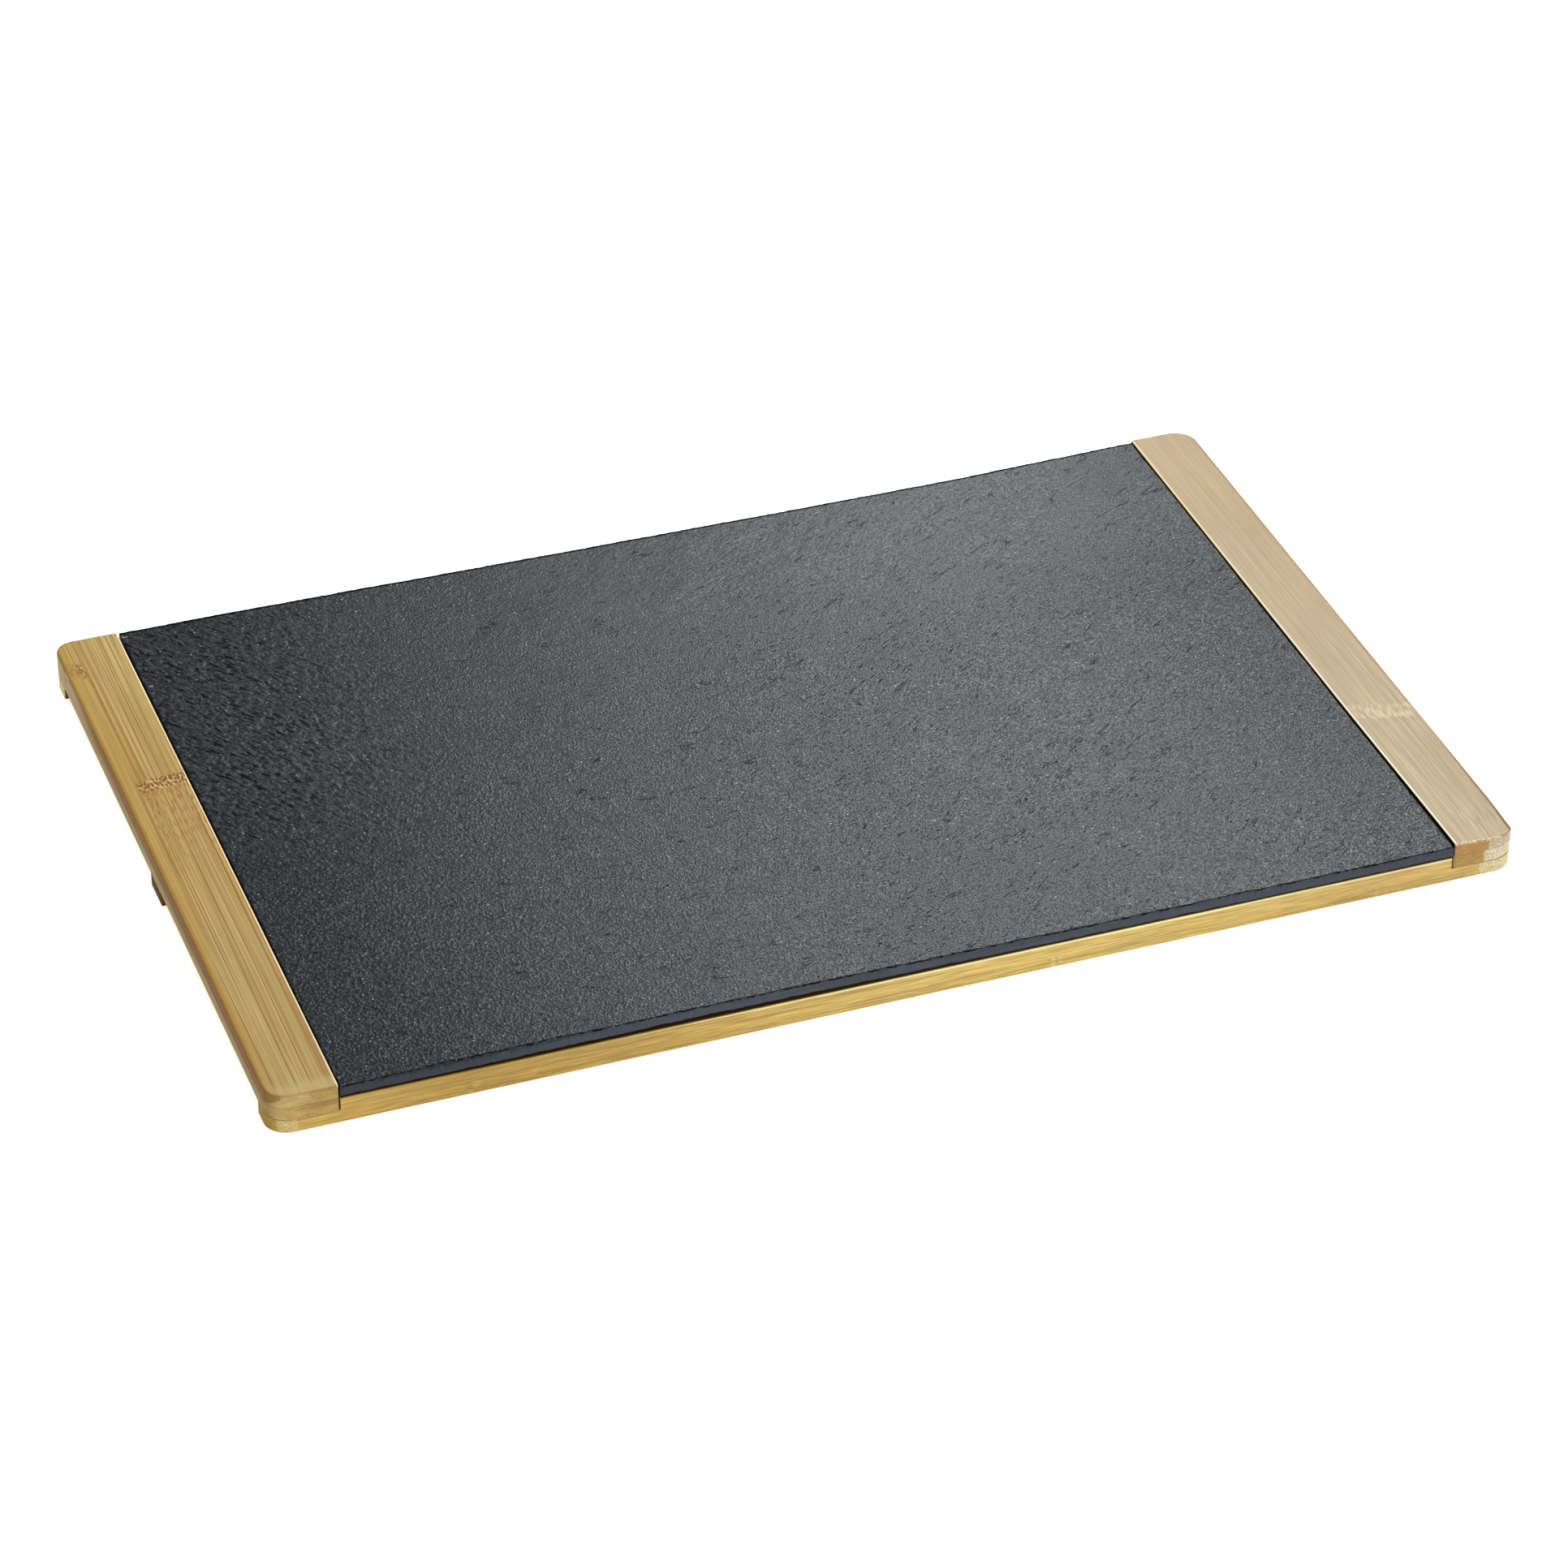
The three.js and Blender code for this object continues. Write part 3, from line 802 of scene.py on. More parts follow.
    # end grain: fibre bundles cut across
    dots = g.cells(g.vmul(g.comb(v, z, 0.0), (1 / 0.85, 1 / 0.70, 0.0)), 1.0)
    cloud = g.noise(g.vmul(base, (1 / 4.0, 1 / 4.0, 1 / 1.3)), 3.0, 0.6)
    ecol = end_col
    if band:
        # a browner run across the end, towards the slate
        across = g.m("ADD", g.m("ABSOLUTE", x), g.m("MULTIPLY", g.m("SUBTRACT", cloud, 0.5), 9.0))
        where = g.m("MULTIPLY", g.step(across, band[0], band[1], 1.0, 0.0), g.step(z, band[2], band[3], band[4], 1.0))
        ecol = g.mix(where, end_col, band[5])
    ec = g.gain(g.mix(0.0, ecol, ecol), g.m("POWER", 2.718, g.m("MULTIPLY", g.m("SUBTRACT", cloud, 0.5), 0.9)))
    ec = g.mix(g.step(dots.outputs["Distance"], 0.20, 0.42, dotted, 0.0), ec, end_dot)
    col = g.mix(end, col, ec)

    # painted shade on the rounded corners
    for ysgn, c0, c1, corner_shade_col, amount in corner:
        corner_shade = g.m("MULTIPLY", g.step(g.m("MULTIPLY", y, ysgn), c0, c1), g.step(g.m("ABSOLUTE", x), 229.6, 230.8))
        # the painted shade runs out to a point towards the end face
        slope = g.m("MULTIPLY_ADD", g.m("SUBTRACT", LEN2, g.m("ABSOLUTE", x)), 0.75, Z_PLY - 0.2)
        corner_shade = g.m("MULTIPLY", corner_shade, g.step(g.m("SUBTRACT", z, slope), 0.0, 0.4))
        corner_shade = g.m("MULTIPLY", corner_shade, g.step(az, 0.35, 0.65, amount, 0.0))
        col = g.mix(corner_shade, col, corner_shade_col)

    # painted highlights on the arrises along the slate, at the rail's front end and on the batten's front; painted
    # shade on the batten top below the slate's front edge; pale dashes along the lap joint
    for kind, e0, e1, ecol, amount in edge or ():
        # painted highlight along the inner top arris
        if kind == "inner":
            skew = g.m("MULTIPLY", g.step(y, -150.0, -50.0, 0.5, 0.0), g.step(x, -1.0, 1.0))
            em = g.step(g.m("SUBTRACT", g.m("ABSOLUTE", x), skew), e0, e1, 1.0, 0.0)
        # painted shade on the batten top under the slate's front edge
        elif kind == "stain":
            em = g.m("MULTIPLY", g.step(y, -e0, -e1), g.m("MULTIPLY", g.step(y, -146.0, -143.0, 1.0, 0.0), g.step(z, 9.5, 9.8)))
        # painted highlight along the front top arris of the rail
        elif kind == "end":
            nick = g.noise(g.vmul(base, (1 / 1.2, 1 / 1.2, 1 / 1.2)), 3.0, 0.65)
            em = g.m("MULTIPLY", g.step(g.m("MULTIPLY", y, -1.0), e0, e1), g.step(nick, 0.35, 0.62, 0.1, 1.0))
        elif kind == "lap":
            nick = g.noise(g.vmul(base, (1 / 1.5, 1 / 1.5, 1 / 1.5)), 2.0, 0.6)
            em = g.m("MULTIPLY", g.step(ny, -0.3, -0.2, 1.0, 0.0), g.step(z, e0, e1, 1.0, 0.0))
            em = g.m("MULTIPLY", em, g.m("MULTIPLY", g.step(nick, 0.45, 0.53), g.step(g.m("ABSOLUTE", x), 228.0, 230.0, 1.0, 0.0)))
        # painted highlight along the top of the batten's front face
        else:
            em = g.m("MULTIPLY", g.step(ny, -0.6, -0.5, 1.0, 0.0), g.step(g.m("MULTIPLY_ADD", fdev, 0.5, z), e0, e1))
            em = g.m("MULTIPLY", em, g.step(g.m("ADD", x, g.m("MULTIPLY", g.m("SUBTRACT", cloud, 0.5), 90.0)), -160.0, -40.0, 0.1, 1.0))
        if kind not in ("front", "lap"):
            em = g.m("MULTIPLY", em, g.step(nz, 0.05, 0.30))
        col = g.mix(g.m("MULTIPLY", em, amount), col, ecol)
    if inner:
        # painted shade: the face towards the slate is darkened, standing in for the shade beside the slate
        inner_face_shade = g.m("MULTIPLY", g.step(g.m("MULTIPLY", nx, inner[0]), 0.86, 0.985), g.step(g.m("ABSOLUTE", x), 212.0, 213.0, 1.0, 0.0))
        col = g.mix(inner_face_shade, col, inner[1])
    # painted shade: the faces turned to the front under the rails are darkened, standing in for the shade there
    if under_shade:
        under_shade_mask = g.m("MULTIPLY", g.step(ny, -0.85, -0.55, 1.0, 0.0), g.step(g.m("ABSOLUTE", x), 211.0, 213.0))
        col = g.mix(under_shade_mask, col, under_shade)

    # places where the corner has been sanded after oiling
    for sgn, x0, x1, ysgn, pcol, amount in pale:
        jag = g.m("MULTIPLY", g.m("SUBTRACT", g.noise(g.vmul(base, (1 / 1.6, 1 / 1.6, 1 / 0.8)), 2.0), 0.5), 3.0)
        xx = g.m("ADD", g.m("MULTIPLY", x, sgn), jag)
        k = g.m("MULTIPLY", g.step(xx, x0 - 0.15, x0 + 0.15), g.step(xx, x1 - 0.9, x1 + 0.9, 1.0, 0.0))
        k = g.m("MULTIPLY", k, g.step(g.m("MULTIPLY_ADD", y, ysgn, jag), 129.0, 142.0))
        k = g.m("MULTIPLY", k, g.step(az, 0.30, 0.62, 1.0, 0.0))
        speck = g.noise(g.vmul(base, (1 / 0.8, 1 / 0.8, 1 / 0.6)), 1.0, 0.6)
        pc = g.gain(g.mix(0.0, pcol, pcol), g.m("MULTIPLY_ADD", g.m("SUBTRACT", cloud, 0.5), 0.5, g.m("MULTIPLY_ADD", g.m("SUBTRACT", speck, 0.5), 1.5, 1.0)))
        col = g.mix(g.m("MULTIPLY", k, amount), col, pc)

    soil = g.noise(g.vmul(base, (1 / 42, 1 / 19, 1 / 19)), 3.0, 0.55)
    col = g.gain(col, g.m("MULTIPLY_ADD", g.m("SUBTRACT", soil, 0.5), 0.22, 1.0))
    if cast:
        # painted light and shade: the colour is scaled from one end of the piece to the other, lighter or darker as the
        # light falls along it
        light_gain = cast[0][1]
        for (p0, _), (p1, gain1) in zip(cast[:-1], cast[1:]):
            light_gain = g.mix(g.step(u, p0, p1), light_gain, gain1)
        col = g.mix(1.0, col, light_gain, "MULTIPLY")
    rough = g.m("ADD", g.m("MULTIPLY_ADD", fdev, 0.4, 0.42), g.m("MULTIPLY", end, 0.15))
    h = g.m("ADD", g.m("MULTIPLY", fib, 0.8), g.m("MULTIPLY", k1, -0.5))
    h = g.m("ADD", h, g.m("MULTIPLY", g.m("MULTIPLY", dots.outputs["Distance"], end), 0.9))
    if knot_h is not None:
        h = g.m("ADD", h, g.m("MULTIPLY", knot_h, 1.2))
    g.put(g.bsdf.inputs["Specular IOR Level"], gloss)
    return g.finish(col, rough, g.bump(h, 0.6, 0.00007))


def slate_face(name):
    """Split slate: charcoal, leathery grain, short dark clefts, specks of mica."""
    g = Nodes(name)
    x, y, z = g.sep(g.p)
    # the grain follows the split: it swings round from the left of the plate to the right
    wav = g.m("SUBTRACT", g.noise(g.vmul(g.p, (1 / 24, 1 / 24, 1 / 24)), 2.0), 0.5)
    xm = g.m("ADD", g.m("MINIMUM", x, 60.0), 56.0)
    flow = g.m("MULTIPLY_ADD", g.m("MULTIPLY", xm, xm), 0.0026, g.m("MULTIPLY", g.m("MAXIMUM", g.m("SUBTRACT", x, 60.0), 0.0), 0.6))
    q = g.comb(g.m("MULTIPLY_ADD", wav, 4.0, x), g.m("SUBTRACT", g.m("MULTIPLY_ADD", wav, 8.0, y), flow), z)
    # the left of the plate split coarser than the right
    coarse = g.step(x, -190.0, 40.0, 1.0, 0.0)
    loose = g.comb(x, g.m("MULTIPLY_ADD", flow, -0.3, y), z)
    small = g.noise(g.vmul(loose, (1 / 0.76, 1 / 0.84, 1 / 0.84)), 1.0, 0.5)
    large = g.noise(g.vmul(g.vadd(loose, (7.0, 23.0, 5.0)), (1 / 1.15, 1 / 1.30, 1 / 1.30)), 1.0, 0.5)
    grain = g.m("ADD", g.m("MULTIPLY", small, g.m("MULTIPLY_ADD", coarse, -0.7, 1.0)), g.m("MULTIPLY", large, g.m("MULTIPLY", coarse, 0.7)))
    lumps = g.noise(g.vmul(g.vadd(q, (5.0, 9.0, 2.0)), (1 / 3.0, 1 / 1.7, 1 / 1.7)), 1.0, 0.5)
    patch = g.noise(g.vmul(q, (1 / 14, 1 / 8, 1 / 8)), 3.0, 0.6)
    cloud = g.noise(g.vmul(g.p, (1 / 95, 1 / 75, 1 / 75)), 3.0, 0.55)
    # and roughest of all at the left rear, in short ripples
    ripple = g.m("MULTIPLY", g.step(x, -185.0, -85.0, 1.0, 0.0), g.step(y, -60.0, 40.0))
    along = g.m("ADD", g.m("MULTIPLY", x, 0.59), g.m("MULTIPLY", y, -0.81))
    across = g.m("ADD", g.m("MULTIPLY", x, 0.81), g.m("MULTIPLY", y, 0.59))
    rip = g.noise(g.comb(g.m("MULTIPLY_ADD", wav, 1.2, g.m("MULTIPLY", along, 1 / 4.6)), g.m("MULTIPLY_ADD", wav, 2.0, g.m("MULTIPLY", across, 1 / 2.0)), 0.0), 1.5, 0.55)
    rd = g.m("MULTIPLY", g.m("SUBTRACT", rip, 0.5), ripple)
    # the right end is crisp again
    crisp = g.step(x, 100.0, 195.0)
    gd = g.m("MULTIPLY_ADD", ripple, -0.80, g.m("MULTIPLY_ADD", crisp, 0.45, g.m("MULTIPLY_ADD", coarse, 0.36, 1.0)))
    # and the rear is worn smooth
    smooth = g.m("MULTIPLY_ADD", g.m("MULTIPLY", g.step(y, 30.0, 120.0), g.step(x, -120.0, -10.0)), -0.5, 1.0)
    gd = g.m("MULTIPLY", g.m("MULTIPLY", g.m("SUBTRACT", grain, 0.5), gd), smooth)
    ld = g.m("SUBTRACT", lumps, 0.5)
    e = g.m("MULTIPLY_ADD", ripple, 0.85, g.m("MULTIPLY", gd, g.m("MULTIPLY_ADD", coarse, 6.0, 8.0)))
    e = g.m("MULTIPLY_ADD", ld, g.m("MULTIPLY_ADD", coarse, 1.5, 0.4), e)
    e = g.m("MULTIPLY_ADD", rd, 5.0, e)
    e = g.m("MULTIPLY_ADD", g.m("SUBTRACT", patch, 0.5), 0.1, e)
    e = g.m("MULTIPLY_ADD", g.m("SUBTRACT", cloud, 0.5), 0.3, e)
    tint = g.mix(g.step(cloud, 0.35, 0.65), (0.0047, 0.0055, 0.0062), (0.0053, 0.0061, 0.0068))
    col = g.gain(tint, g.m("MINIMUM", g.m("POWER", 2.718, e), 6.0))
    # small dark dashes along the split
    nd = g.noise(g.vmul(g.vadd(q, (41.0, 3.0, 17.0)), (1 / 1.9, 1 / 0.55, 1 / 0.55)), 0.5, 0.4)
    dash = g.m("MULTIPLY", g.step(nd, 0.70, 0.73), g.m("MULTIPLY_ADD", crisp, -0.45, g.m("MULTIPLY_ADD", coarse, -0.75, 1.0)))
    # and longer black strokes among the ripples: painted shade for the shaded slopes of the ripples
    ns = g.noise(g.comb(g.m("MULTIPLY_ADD", wav, 1.2, g.m("MULTIPLY", along, 1 / 4.2)), g.m("MULTIPLY_ADD", wav, 2.4, g.m("MULTIPLY", across, 1 / 1.35)), 3.3), 1.0, 0.5)
    dash = g.m("MAXIMUM", dash, g.m("MULTIPLY", g.step(ns, 0.60, 0.66), ripple))
    dash = g.m("MULTIPLY", dash, smooth)
    col = g.mix(dash, col, (0.003, 0.0035, 0.004))
    # short dark clefts where a layer has lifted
    n1 = g.noise(g.vmul(g.vadd(q, (13.0, 7.0, 3.0)), (1 / 22, 1 / 6, 1 / 6)), 2.5, 0.55)
    l1 = g.step(g.m("ABSOLUTE", g.m("SUBTRACT", n1, 0.5)), 0.003, 0.013, 1.0, 0.0)
    b1 = g.step(g.noise(g.vmul(q, (1 / 8, 1 / 5, 1 / 5)), 1.0), 0.55, 0.64)
    cleft = g.m("MULTIPLY", l1, b1)
    col = g.mix(g.m("MULTIPLY", cleft, 0.75), col, (0.005, 0.0055, 0.006))
    # a dark line along the rear arris
    off = g.m("MULTIPLY_ADD", x, 1 / 110, -95 / 110)
    rear = g.m("MULTIPLY_ADD", g.m("POWER", 2.718, g.m("MULTIPLY", g.m("MULTIPLY", off, off), -1.0)), 1.3, y)
    rim = g.step(rear, 147.7, 148.3)
    col = g.gain(col, g.m("MULTIPLY_ADD", rim, -0.7, 1.0))
    # mica
    mica = g.cells(g.vmul(g.p, (1 / 2.6, 1 / 2.6, 0.0)), 1.0)
    pick = g.sep(mica.outputs["Color"])[0]
    spark = g.m("MULTIPLY", g.step(mica.outputs["Distance"], 0.07, 0.17, 1.0, 0.0), g.step(pick, 0.955, 0.975))
    col = g.mix(g.m("MULTIPLY", g.m("MULTIPLY", spark, smooth), 0.8), col, (0.34, 0.35, 0.36))
    # two pale scuffs beside the left rail and one at the rear corner
    for sx, sy, sa, sb in ((-206.8, 110.0, 1.6, 0.5), (-208.2, 146.0, 1.5, 0.6), (-199.0, 97.0, 1.2, 0.5)):
        du = g.m("MULTIPLY", g.m("SUBTRACT", x, sx), 1 / sa)
        dv = g.m("MULTIPLY", g.m("SUBTRACT", y, sy), 1 / sb)
        dd = g.m("ADD", g.m("MULTIPLY", du, du), g.m("MULTIPLY", dv, dv))
        col = g.mix(g.m("MULTIPLY", g.step(dd, 0.5, 1.6, 0.9, 0.0), g.step(small, 0.40, 0.52)), col, (0.22, 0.23, 0.23))
    h = g.m("MULTIPLY", gd, g.m("MULTIPLY_ADD", coarse, 0.66, 0.52))
    h = g.m("MULTIPLY_ADD", ld, 0.30, h)
    h = g.m("MULTIPLY_ADD", rd, 2.6, h)
    h = g.m("MULTIPLY_ADD", patch, 0.40, h)
    h = g.m("MULTIPLY_ADD", cleft, -0.35, h)
    h = g.m("MULTIPLY_ADD", dash, -0.25, h)
    # the rubbed high spots shine, the pits do not
    rough = g.m("MULTIPLY_ADD", dash, 0.25, g.m("MULTIPLY_ADD", gd, -0.9, 0.46))
    rough = g.m("MINIMUM", g.m("MAXIMUM", rough, 0.30), 0.75)
    # the coarser split is duller, and so is the right end
    dull = g.m("MULTIPLY", g.step(x, -212.0, -88.0, 0.255, 0.53), g.step(x, 150.0, 208.0, 1.0, 0.84))
    dull = g.m("MULTIPLY", dull, g.m("MULTIPLY", g.step(x, -80.0, -45.0, 1.0, 1.07), g.step(x, -30.0, 20.0, 1.0, 0.925)))
    dull = g.m("MULTIPLY", dull, g.m("MULTIPLY_ADD", g.m("MAXIMUM", dash, g.m("MULTIPLY", cleft, 0.8)), -0.8, 1.0))
    dull = g.m("MULTIPLY", dull, g.m("MULTIPLY_ADD", rim, -0.88, 1.0))
    g.put(g.bsdf.inputs["Specular IOR Level"], dull)
    return g.finish(col, rough, g.bump(h, 1.0, 0.00050))


def slate_sawn(name):
    """Sawn slate edge: smooth blue-grey with faint lengthwise saw lines."""
    g = Nodes(name)
    a = g.noise(g.vmul(g.p, (1 / 30, 1 / 30, 1 / 0.6)), 3.0, 0.6)
    b = g.noise(g.vmul(g.p, (1 / 1.4, 1 / 1.4, 1 / 0.9)), 3.0, 0.6)
    c = g.noise(g.vmul(g.p, (1 / 22, 1 / 22, 1 / 9)), 2.0)
    e = g.m("MULTIPLY", g.m("SUBTRACT", a, 0.5), 1.3)
    e = g.m("MULTIPLY_ADD", g.m("SUBTRACT", b, 0.5), 1.2, e)
    e = g.m("MULTIPLY_ADD", g.m("SUBTRACT", c, 0.5), 0.8, e)
    x = g.sep(g.p)[0]
    tint = g.mix(g.step(x, -205.0, -100.0), (0.011, 0.019, 0.031), (0.027, 0.040, 0.058))
    tint = g.mix(g.step(x, 90.0, 200.0), tint, (0.024, 0.033, 0.048))
    col = g.gain(tint, g.m("POWER", 2.718, e))
    h = g.m("ADD", g.m("MULTIPLY", a, 0.7), g.m("MULTIPLY", b, 0.6))
    return g.finish(col, g.m("MULTIPLY_ADD", b, 0.2, 0.48), g.bump(h, 0.5, 0.00010), Specular_IOR_Level=0.4)


def slate_broken(name):
    """Chipped arris: fresh, dark and rough, with a few pale crumbs."""
    g = Nodes(name)
    a = g.noise(g.vmul(g.p, (1 / 0.9, 1 / 0.9, 1 / 0.6)), 3.0, 0.65)
    col = g.gain(g.mix(0.5, (0.0035, 0.004, 0.0045), (0.0045, 0.005, 0.0055)), g.m("POWER", 2.718, g.m("MULTIPLY", g.m("SUBTRACT", a, 0.5), 4.0)))
    cr = g.noise(g.vmul(g.p, (1 / 1.3, 1 / 1.3, 1 / 1.3)), 1.0)
    col = g.mix(g.step(cr, 0.72, 0.77, 0.0, 0.8), col, (0.30, 0.31, 0.31))
    return g.finish(col, g.m("MULTIPLY_ADD", a, 0.2, 0.66), g.bump(a, 0.8, 0.00030), Specular_IOR_Level=0.12)


def zinc(name):
    g = Nodes(name)
    a = g.noise(g.vmul(g.p, (1 / 0.5, 1 / 0.5, 1 / 0.12)), 3.0, 0.6)
    c = g.noise(g.vmul(g.p, (1 / 2.5, 1 / 2.5, 1 / 2.5)), 2.0)
    col = g.mix(g.step(c, 0.35, 0.7), (0.52, 0.53, 0.54), (0.62, 0.60, 0.55))
    return g.finish(col, g.m("MULTIPLY_ADD", a, 0.22, 0.24), g.bump(a, 0.3, 0.00003), Metallic=1.0)


def silicone(name):
    g = Nodes(name)
    a = g.noise(g.vmul(g.p, (1 / 0.7, 1 / 0.7, 1 / 0.7)), 3.0, 0.6)
    c = g.noise(g.vmul(g.p, (1 / 4, 1 / 4, 1 / 4)), 2.0)
    col = g.mix(c, (0.44, 0.43, 0.40), (0.54, 0.53, 0.50))
    return g.finish(col, g.m("MULTIPLY_ADD", a, 0.2, 0.45), g.bump(a, 0.3, 0.00004), Specular_IOR_Level=0.4)


def studio_white(name):
    g = Nodes(name)
    a = g.noise(g.vmul(g.p, (1 / 300, 1 / 300, 1 / 300)), 2.0)
    col = g.mix(a, (0.70, 0.70, 0.70), (0.72, 0.72, 0.72))
    g.bsdf.inputs["Emission Color"].default_value = (1.0, 1.0, 1.0, 1.0)
    g.bsdf.inputs["Emission Strength"].default_value = 0.72
    return g.finish(col, 0.85, None, Specular_IOR_Level=0.1)


# ------------------------------------------------------------------ materials
C = srgb
M_LU = bamboo("bamboo_left_upper", "y", 1, (C(174, 149, 88), C(170, 142, 77), C(170, 135, 69)), C(142, 84, 6), C(206, 184, 128),
              C(192, 165, 98), C(158, 124, 62), C(112, 76, 34), end_at=(0.60, 0.95),
              # painted shade: the dark tint on the upper ply's front-left rounded corner
              corner=[(-1.0, 141.0, 144.0, C(138, 102, 56), 0.8)], side_far=(84.0, 122.0, C(166, 144, 98)),
              knots=[("teeth", 46.5, 0.13, -229.0, -209.0, 3.7, 1.0, 70.0), ("curl", 129.2, -0.45, -235.8, -228.0, 5.0, 0.9, 8.0)], knot_col=C(128, 82, 20),
              # painted highlight: the pale inner arris; painted shade: the dark inner face towards the slate
              edge=[("inner", 210.45, 210.8, C(240, 218, 166), 0.9)], inner=(1.0, C(40, 26, 14)), fade=(-1.0, 141.0, 146.5, C(186, 160, 104)),
              band=(217.0, 224.0, 10.0, 11.0, 0.6, C(172, 140, 72)),
              margin=[(-1.0, 229.5, 233.0, C(172, 136, 54), 0.55), (-1.0, 233.4, 234.2, C(158, 110, 38), 0.60)], fine=0.95, lines=0.80, calm=(-1.0, 226.0, 231.0, 0.9), run=2.0, thin=(-60.0, 40.0, 0.8),
              # painted light and shade: paler and bluer towards the rear end
              cast=[(-90.0, (0.98, 0.975, 0.95)), (10.0, (0.985, 0.965, 0.89)), (80.0, (0.985, 0.965, 0.91)), (130.0, (1.05, 1.07, 1.12))])
M_LL = bamboo("bamboo_left_lower", "y", 2, (C(200, 176, 122), C(194, 162, 98), C(190, 150, 88)), C(150, 110, 60), C(224, 202, 150),
              C(192, 160, 86), C(156, 120, 60), C(158, 130, 72), side_far=(84.0, 122.0, C(168, 148, 102)), band=(221.0, 226.0, 7.6, 9.4, 0.4, C(160, 124, 52)), lines=0.4,
              edge=[("lap", 5.55, 5.75, C(226, 218, 198), 0.85)])
M_RU = bamboo("bamboo_right_upper", "y", 3, (C(166, 149, 117), C(163, 144, 110), C(167, 145, 111)), C(130, 106, 74), C(214, 198, 160),
              C(177, 132, 67), C(130, 91, 41), C(150, 106, 52),
              knots=[("strokes", -62.0, -0.28, 211.5, 234.0, 4.6, 0.65, 14.0)],
              # painted highlights: the pale inner and front arrises; painted shade: the near-black inner face towards
              # the slate
              edge=[("inner", 210.6, 210.9, C(255, 248, 220), 0.95), ("end", 149.0, 149.4, C(240, 224, 186), 0.85)], inner=(-1.0, C(20, 12, 7)),
              margin=[(1.0, 233.2, 233.9, C(160, 128, 78), 0.25), (1.0, 234.2, 234.5, C(118, 88, 46), 0.85)],
              pale=[(1.0, 224.2, 260.0, -1.0, C(191, 178, 156), 0.9)], fine=1.15, lines=0.26, run=1.1, dotted=0.4,
              # painted light and shade: darker and yellower towards the rear end
              cast=[(-120.0, (0.98, 0.955, 0.91)), (120.0, (0.81, 0.69, 0.44))])
M_RL = bamboo("bamboo_right_lower", "y", 4, (C(200, 176, 122), C(194, 160, 96), C(190, 148, 86)), C(152, 112, 62), C(224, 202, 150),
              C(167, 134, 60), C(128, 92, 38), C(194, 166, 112),
              pale=[(1.0, 222.6, 260.0, -1.0, C(208, 198, 164), 0.9)], lines=0.4)
# painted highlight: the cream top of the front face; painted shade: the dark strip under the slate's front edge
BAT = dict(edge=[("front", 9.30, 9.45, C(255, 246, 190), 0.95), ("stain", 149.5, 149.2, C(110, 58, 22), 0.9)],
           # painted light and shade: darker on the left, lighter from the middle rightwards
           cast=[(-212.0, (0.98, 0.92, 0.54)), (-165.0, (0.83, 0.74, 0.37)), (40.0, (1.16, 1.19, 1.03)), (115.0, (1.16, 1.19, 1.03)), (185.0, (1.04, 1.03, 0.91))])
M_BF = bamboo("bamboo_front_batten", "x", 5, (C(200, 170, 100), C(196, 160, 84), C(192, 152, 78)), C(150, 110, 50), C(226, 204, 146),
              C(176, 152, 100), C(140, 112, 64), C(202, 170, 96),
              knots=[("dash", -162.0, 0.0, -152.0, -147.0, 2.4, 0.5, 9.0), ("dash", -138.5, 0.0, -152.0, -147.0, 2.0, 0.35, 7.0), ("dash", 54.8, 0.0, -152.0, -147.0, 2.4, 0.55, 9.0), ("dash", 179.3, 0.0, -152.0, -147.0, 2.0, 0.4, 8.0)],
              pale=[(1.0, 221.1, 260.0, -1.0, C(210, 194, 152), 0.9), (-1.0, 225.0, 231.8, -1.0, C(212, 200, 176), 0.6)], fine=1.2, lines=0.48, run=0.32, **BAT)
M_BC = bamboo("bamboo_centre_batten", "x", 6, (C(204, 176, 110), C(198, 162, 90), C(194, 152, 84)), C(156, 114, 54), C(226, 204, 148),
              # painted shade: the dark brown end faces and the darkened faces under the rails, where the centre batten
              # lies in shade
              C(96, 64, 36), C(70, 44, 24), C(200, 168, 98), fine=1.5, lines=0.4, run=0.7, under_shade=C(76, 48, 32),
              knots=[("teeth", -88.0, 0.0, -9.0, 9.0, 2.6, 0.5, 14.0), ("teeth", 131.0, 0.1, -9.0, 9.0, 2.6, 0.5, 14.0)])
M_BR = bamboo("bamboo_rear_batten", "x", 7, (C(206, 178, 110), C(200, 164, 92), C(196, 154, 86)), C(158, 116, 54), C(228, 206, 148),
              # painted shade: the darkened faces under the rails
              C(218, 202, 144), C(180, 158, 104), C(202, 170, 100), fine=1.5, lines=0.4, run=0.7, under_shade=C(90, 58, 36),
              knots=[("teeth", -31.0, 0.1, 134.0, 151.0, 2.6, 0.5, 14.0), ("teeth", 176.0, 0.0, 134.0, 151.0, 2.6, 0.5, 14.0)])
M_SLATE = slate_face("slate_riven")
M_SAWN = slate_sawn("slate_sawn_edge")
M_CHIP = slate_broken("slate_chipped_arris")
M_ZINC = zinc("zinc_plated_steel")
M_SIL = silicone("soft_silicone")


# ------------------------------------------------------------------ pieces
def place(ob, node, body):
    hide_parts(node)
    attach(ob, body)


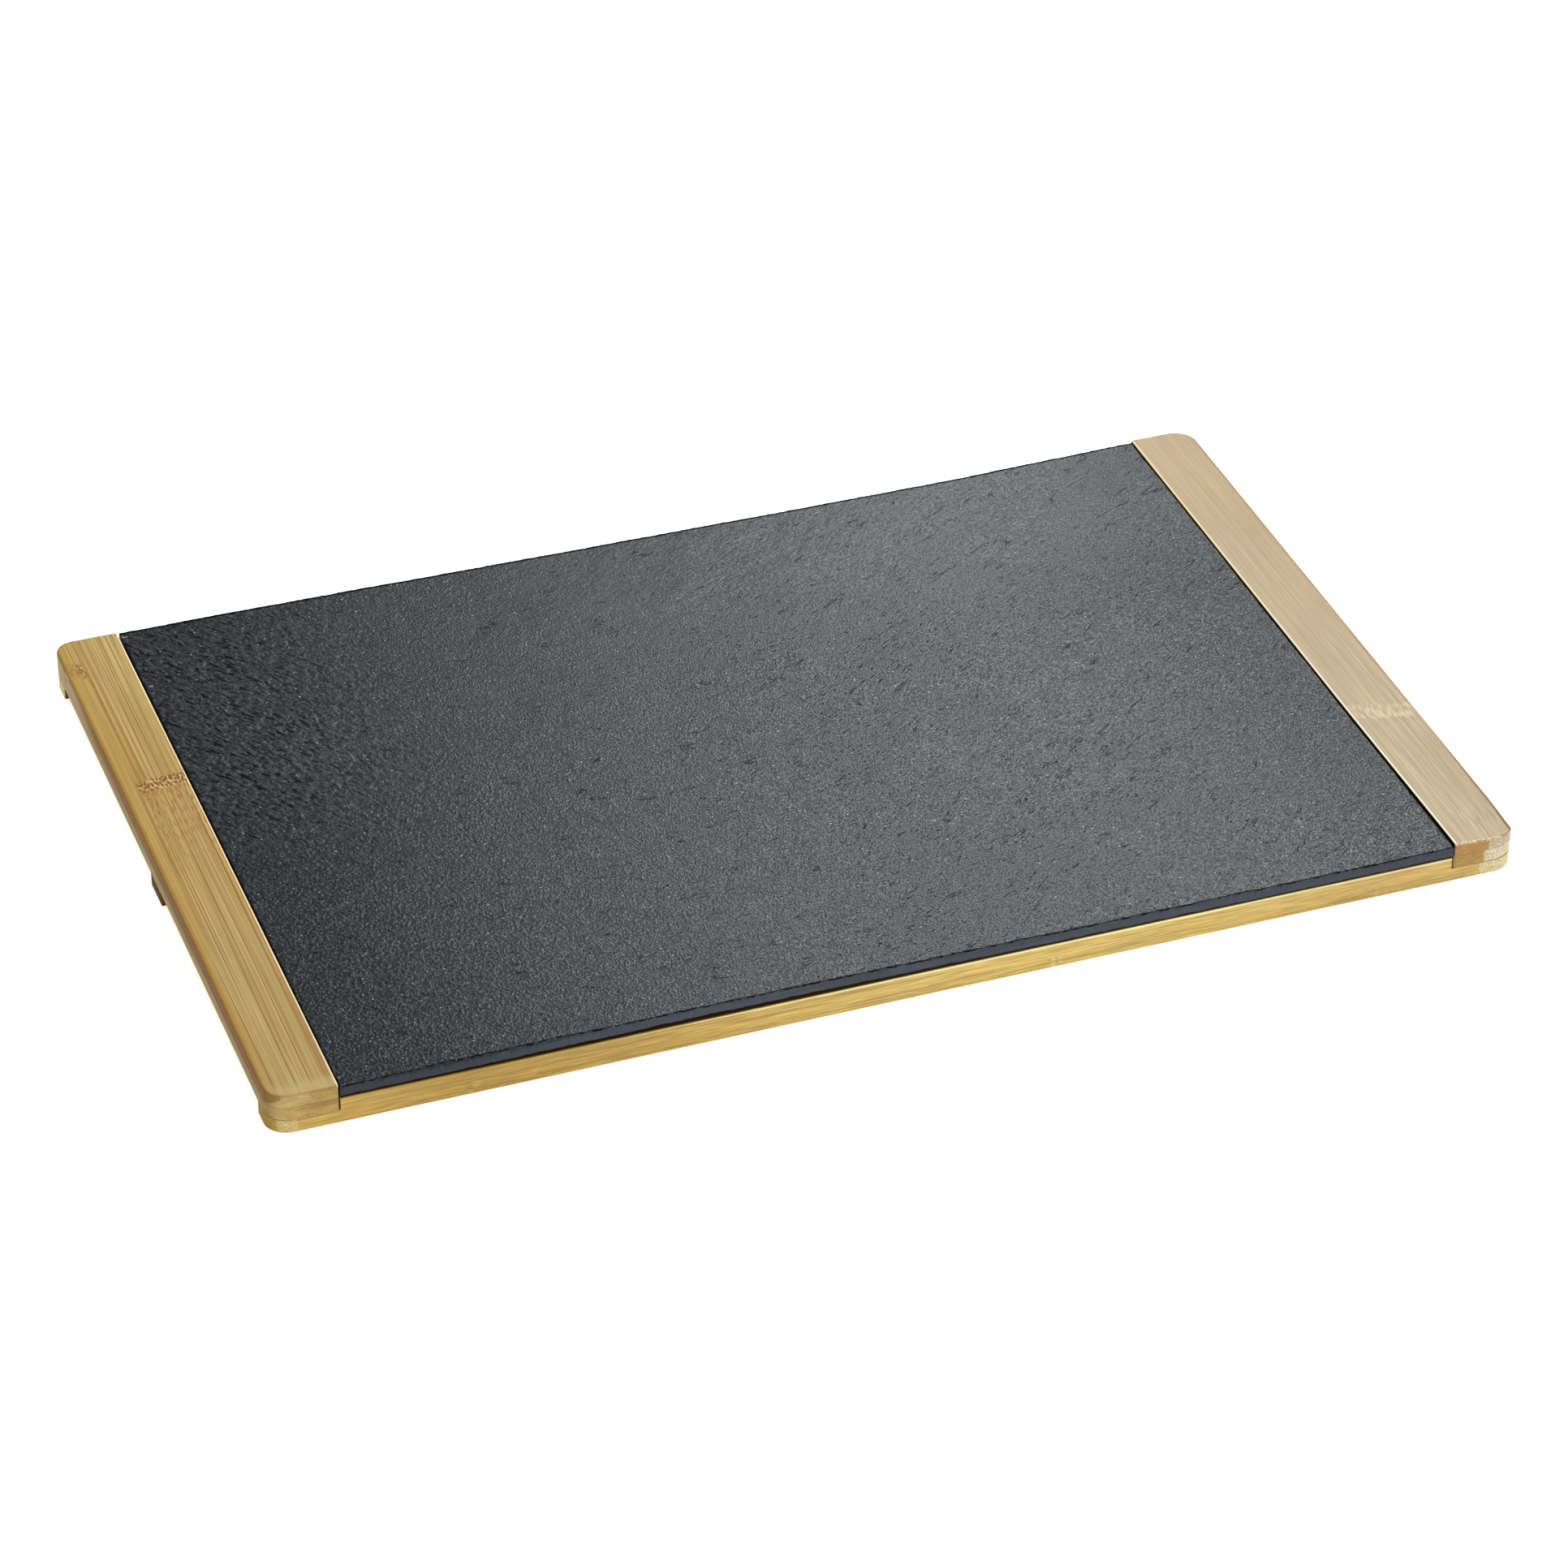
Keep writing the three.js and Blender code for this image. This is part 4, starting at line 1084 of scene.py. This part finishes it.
place(ply("left_rail_upper_ply_bamboo", "left", Z_PLY, Z_TOP, 0.8, 0.10, [M_LU], 101), "left_rail_upper_ply", "frame")
place(ply("left_rail_lower_ply_bamboo", "left", Z_LAP, Z_PLY, 0.10, 0.35, [M_LL], 102), "left_rail_lower_ply", "frame")
place(ply("right_rail_upper_ply_bamboo", "right", Z_PLY, Z_TOP, 0.8, 0.10, [M_RU], 103), "right_rail_upper_ply", "frame")
place(ply("right_rail_lower_ply_bamboo", "right", Z_LAP, Z_PLY, 0.10, 0.35, [M_RL], 104), "right_rail_lower_ply", "frame")
for which, mat in (("front", M_BF), ("centre", M_BC), ("rear", M_BR)):
    place(batten(which + "_batten_bamboo", which, [mat], 110), which + "_batten", "frame")
place(slate_plate("slate_plate_riven", [M_SLATE, M_SAWN, M_CHIP]), "slate_plate", "slate")
turn = 0.35
for side, sx in (("left", -1.0), ("right", 1.0)):
    for which, yy in BAT_Y.items():
        turn += 0.61
        place(wood_screw("screw_%s_%s_zinc" % (side, which), sx * RAIL_MID, yy, [M_ZINC], turn), "screw_%s_%s" % (side, which), "frame")
        place(pad("slate_pad_%s_%s_soft" % (side, which), sx * PAD_X, yy, [M_SIL], 7), "slate_pad_%s_%s" % (side, which), "slate")

# ------------------------------------------------------------------ floor and light
S = 6000.0
floor = make("studio_floor", [(-S, -S, -0.15), (S, -S, -0.15), (S, S, -0.15), (-S, S, -0.15)], [(0, 1, 2, 3)], [studio_white("studio_white")])

scene = bpy.context.scene
world = bpy.data.worlds.new("studio")
scene.world = world
world.use_nodes = True
bg = world.node_tree.nodes["Background"]
bg.inputs["Color"].default_value = (1.0, 1.0, 1.0, 1.0)
bg.inputs["Strength"].default_value = 0.16


def softbox(name, at, aim, sx, sy, watts, color=(1, 1, 1)):
    li = bpy.data.lights.new(name, "AREA")
    li.shape = "RECTANGLE"
    li.size, li.size_y = sx, sy
    li.energy = watts
    li.color = color
    ob = bpy.data.objects.new(name, li)
    ob.location = at
    ob.rotation_euler = (Vector(aim) - Vector(at)).to_track_quat("-Z", "Y").to_euler()
    scene.collection.objects.link(ob)
    return ob


softbox("overhead", (-0.10, 0.15, 1.9), (0.0, 0.0, 0.0), 1.8, 1.8, 22.0)
softbox("key", (1.55, 0.75, 1.25), (0.0, 0.0, 0.0), 0.9, 0.9, 36.0)
softbox("sheen", (0.426, 0.816, 0.628), (0.06, -0.02, 0.015), 0.32, 0.45, 3.7, (0.87, 0.945, 1.0))
softbox("front_fill", (0.5, -2.2, 0.6), (0.0, 0.0, 0.0), 1.6, 0.8, 10.0)

# ------------------------------------------------------------------ camera
az, el, roll = math.radians(-20.261), math.radians(34.681), math.radians(0.307)
back = Vector((math.sin(az) * math.cos(el), -math.cos(az) * math.cos(el), math.sin(el)))
right = (-back).cross(Vector((0, 0, 1))).normalized()
up = right.cross(-back)
r2 = math.cos(roll) * right + math.sin(roll) * up
u2 = -math.sin(roll) * right + math.cos(roll) * up
eye = Vector((-0.00513, -0.03175, 0.016)) + back * 2.0751
cam = bpy.data.cameras.new("camera")
cam.sensor_fit = "HORIZONTAL"
cam.sensor_width = 36.0
cam.lens = 129.72
cam.clip_start, cam.clip_end = 0.05, 50.0
cam_ob = bpy.data.objects.new("camera", cam)
cam_ob.matrix_world = Matrix(((r2.x, u2.x, back.x, eye.x), (r2.y, u2.y, back.y, eye.y), (r2.z, u2.z, back.z, eye.z), (0, 0, 0, 1)))
scene.collection.objects.link(cam_ob)
scene.camera = cam_ob

scene.view_settings.view_transform = "Standard"
scene.view_settings.look = "None"
scene.view_settings.exposure = 0.0
scene.view_settings.gamma = 1.0
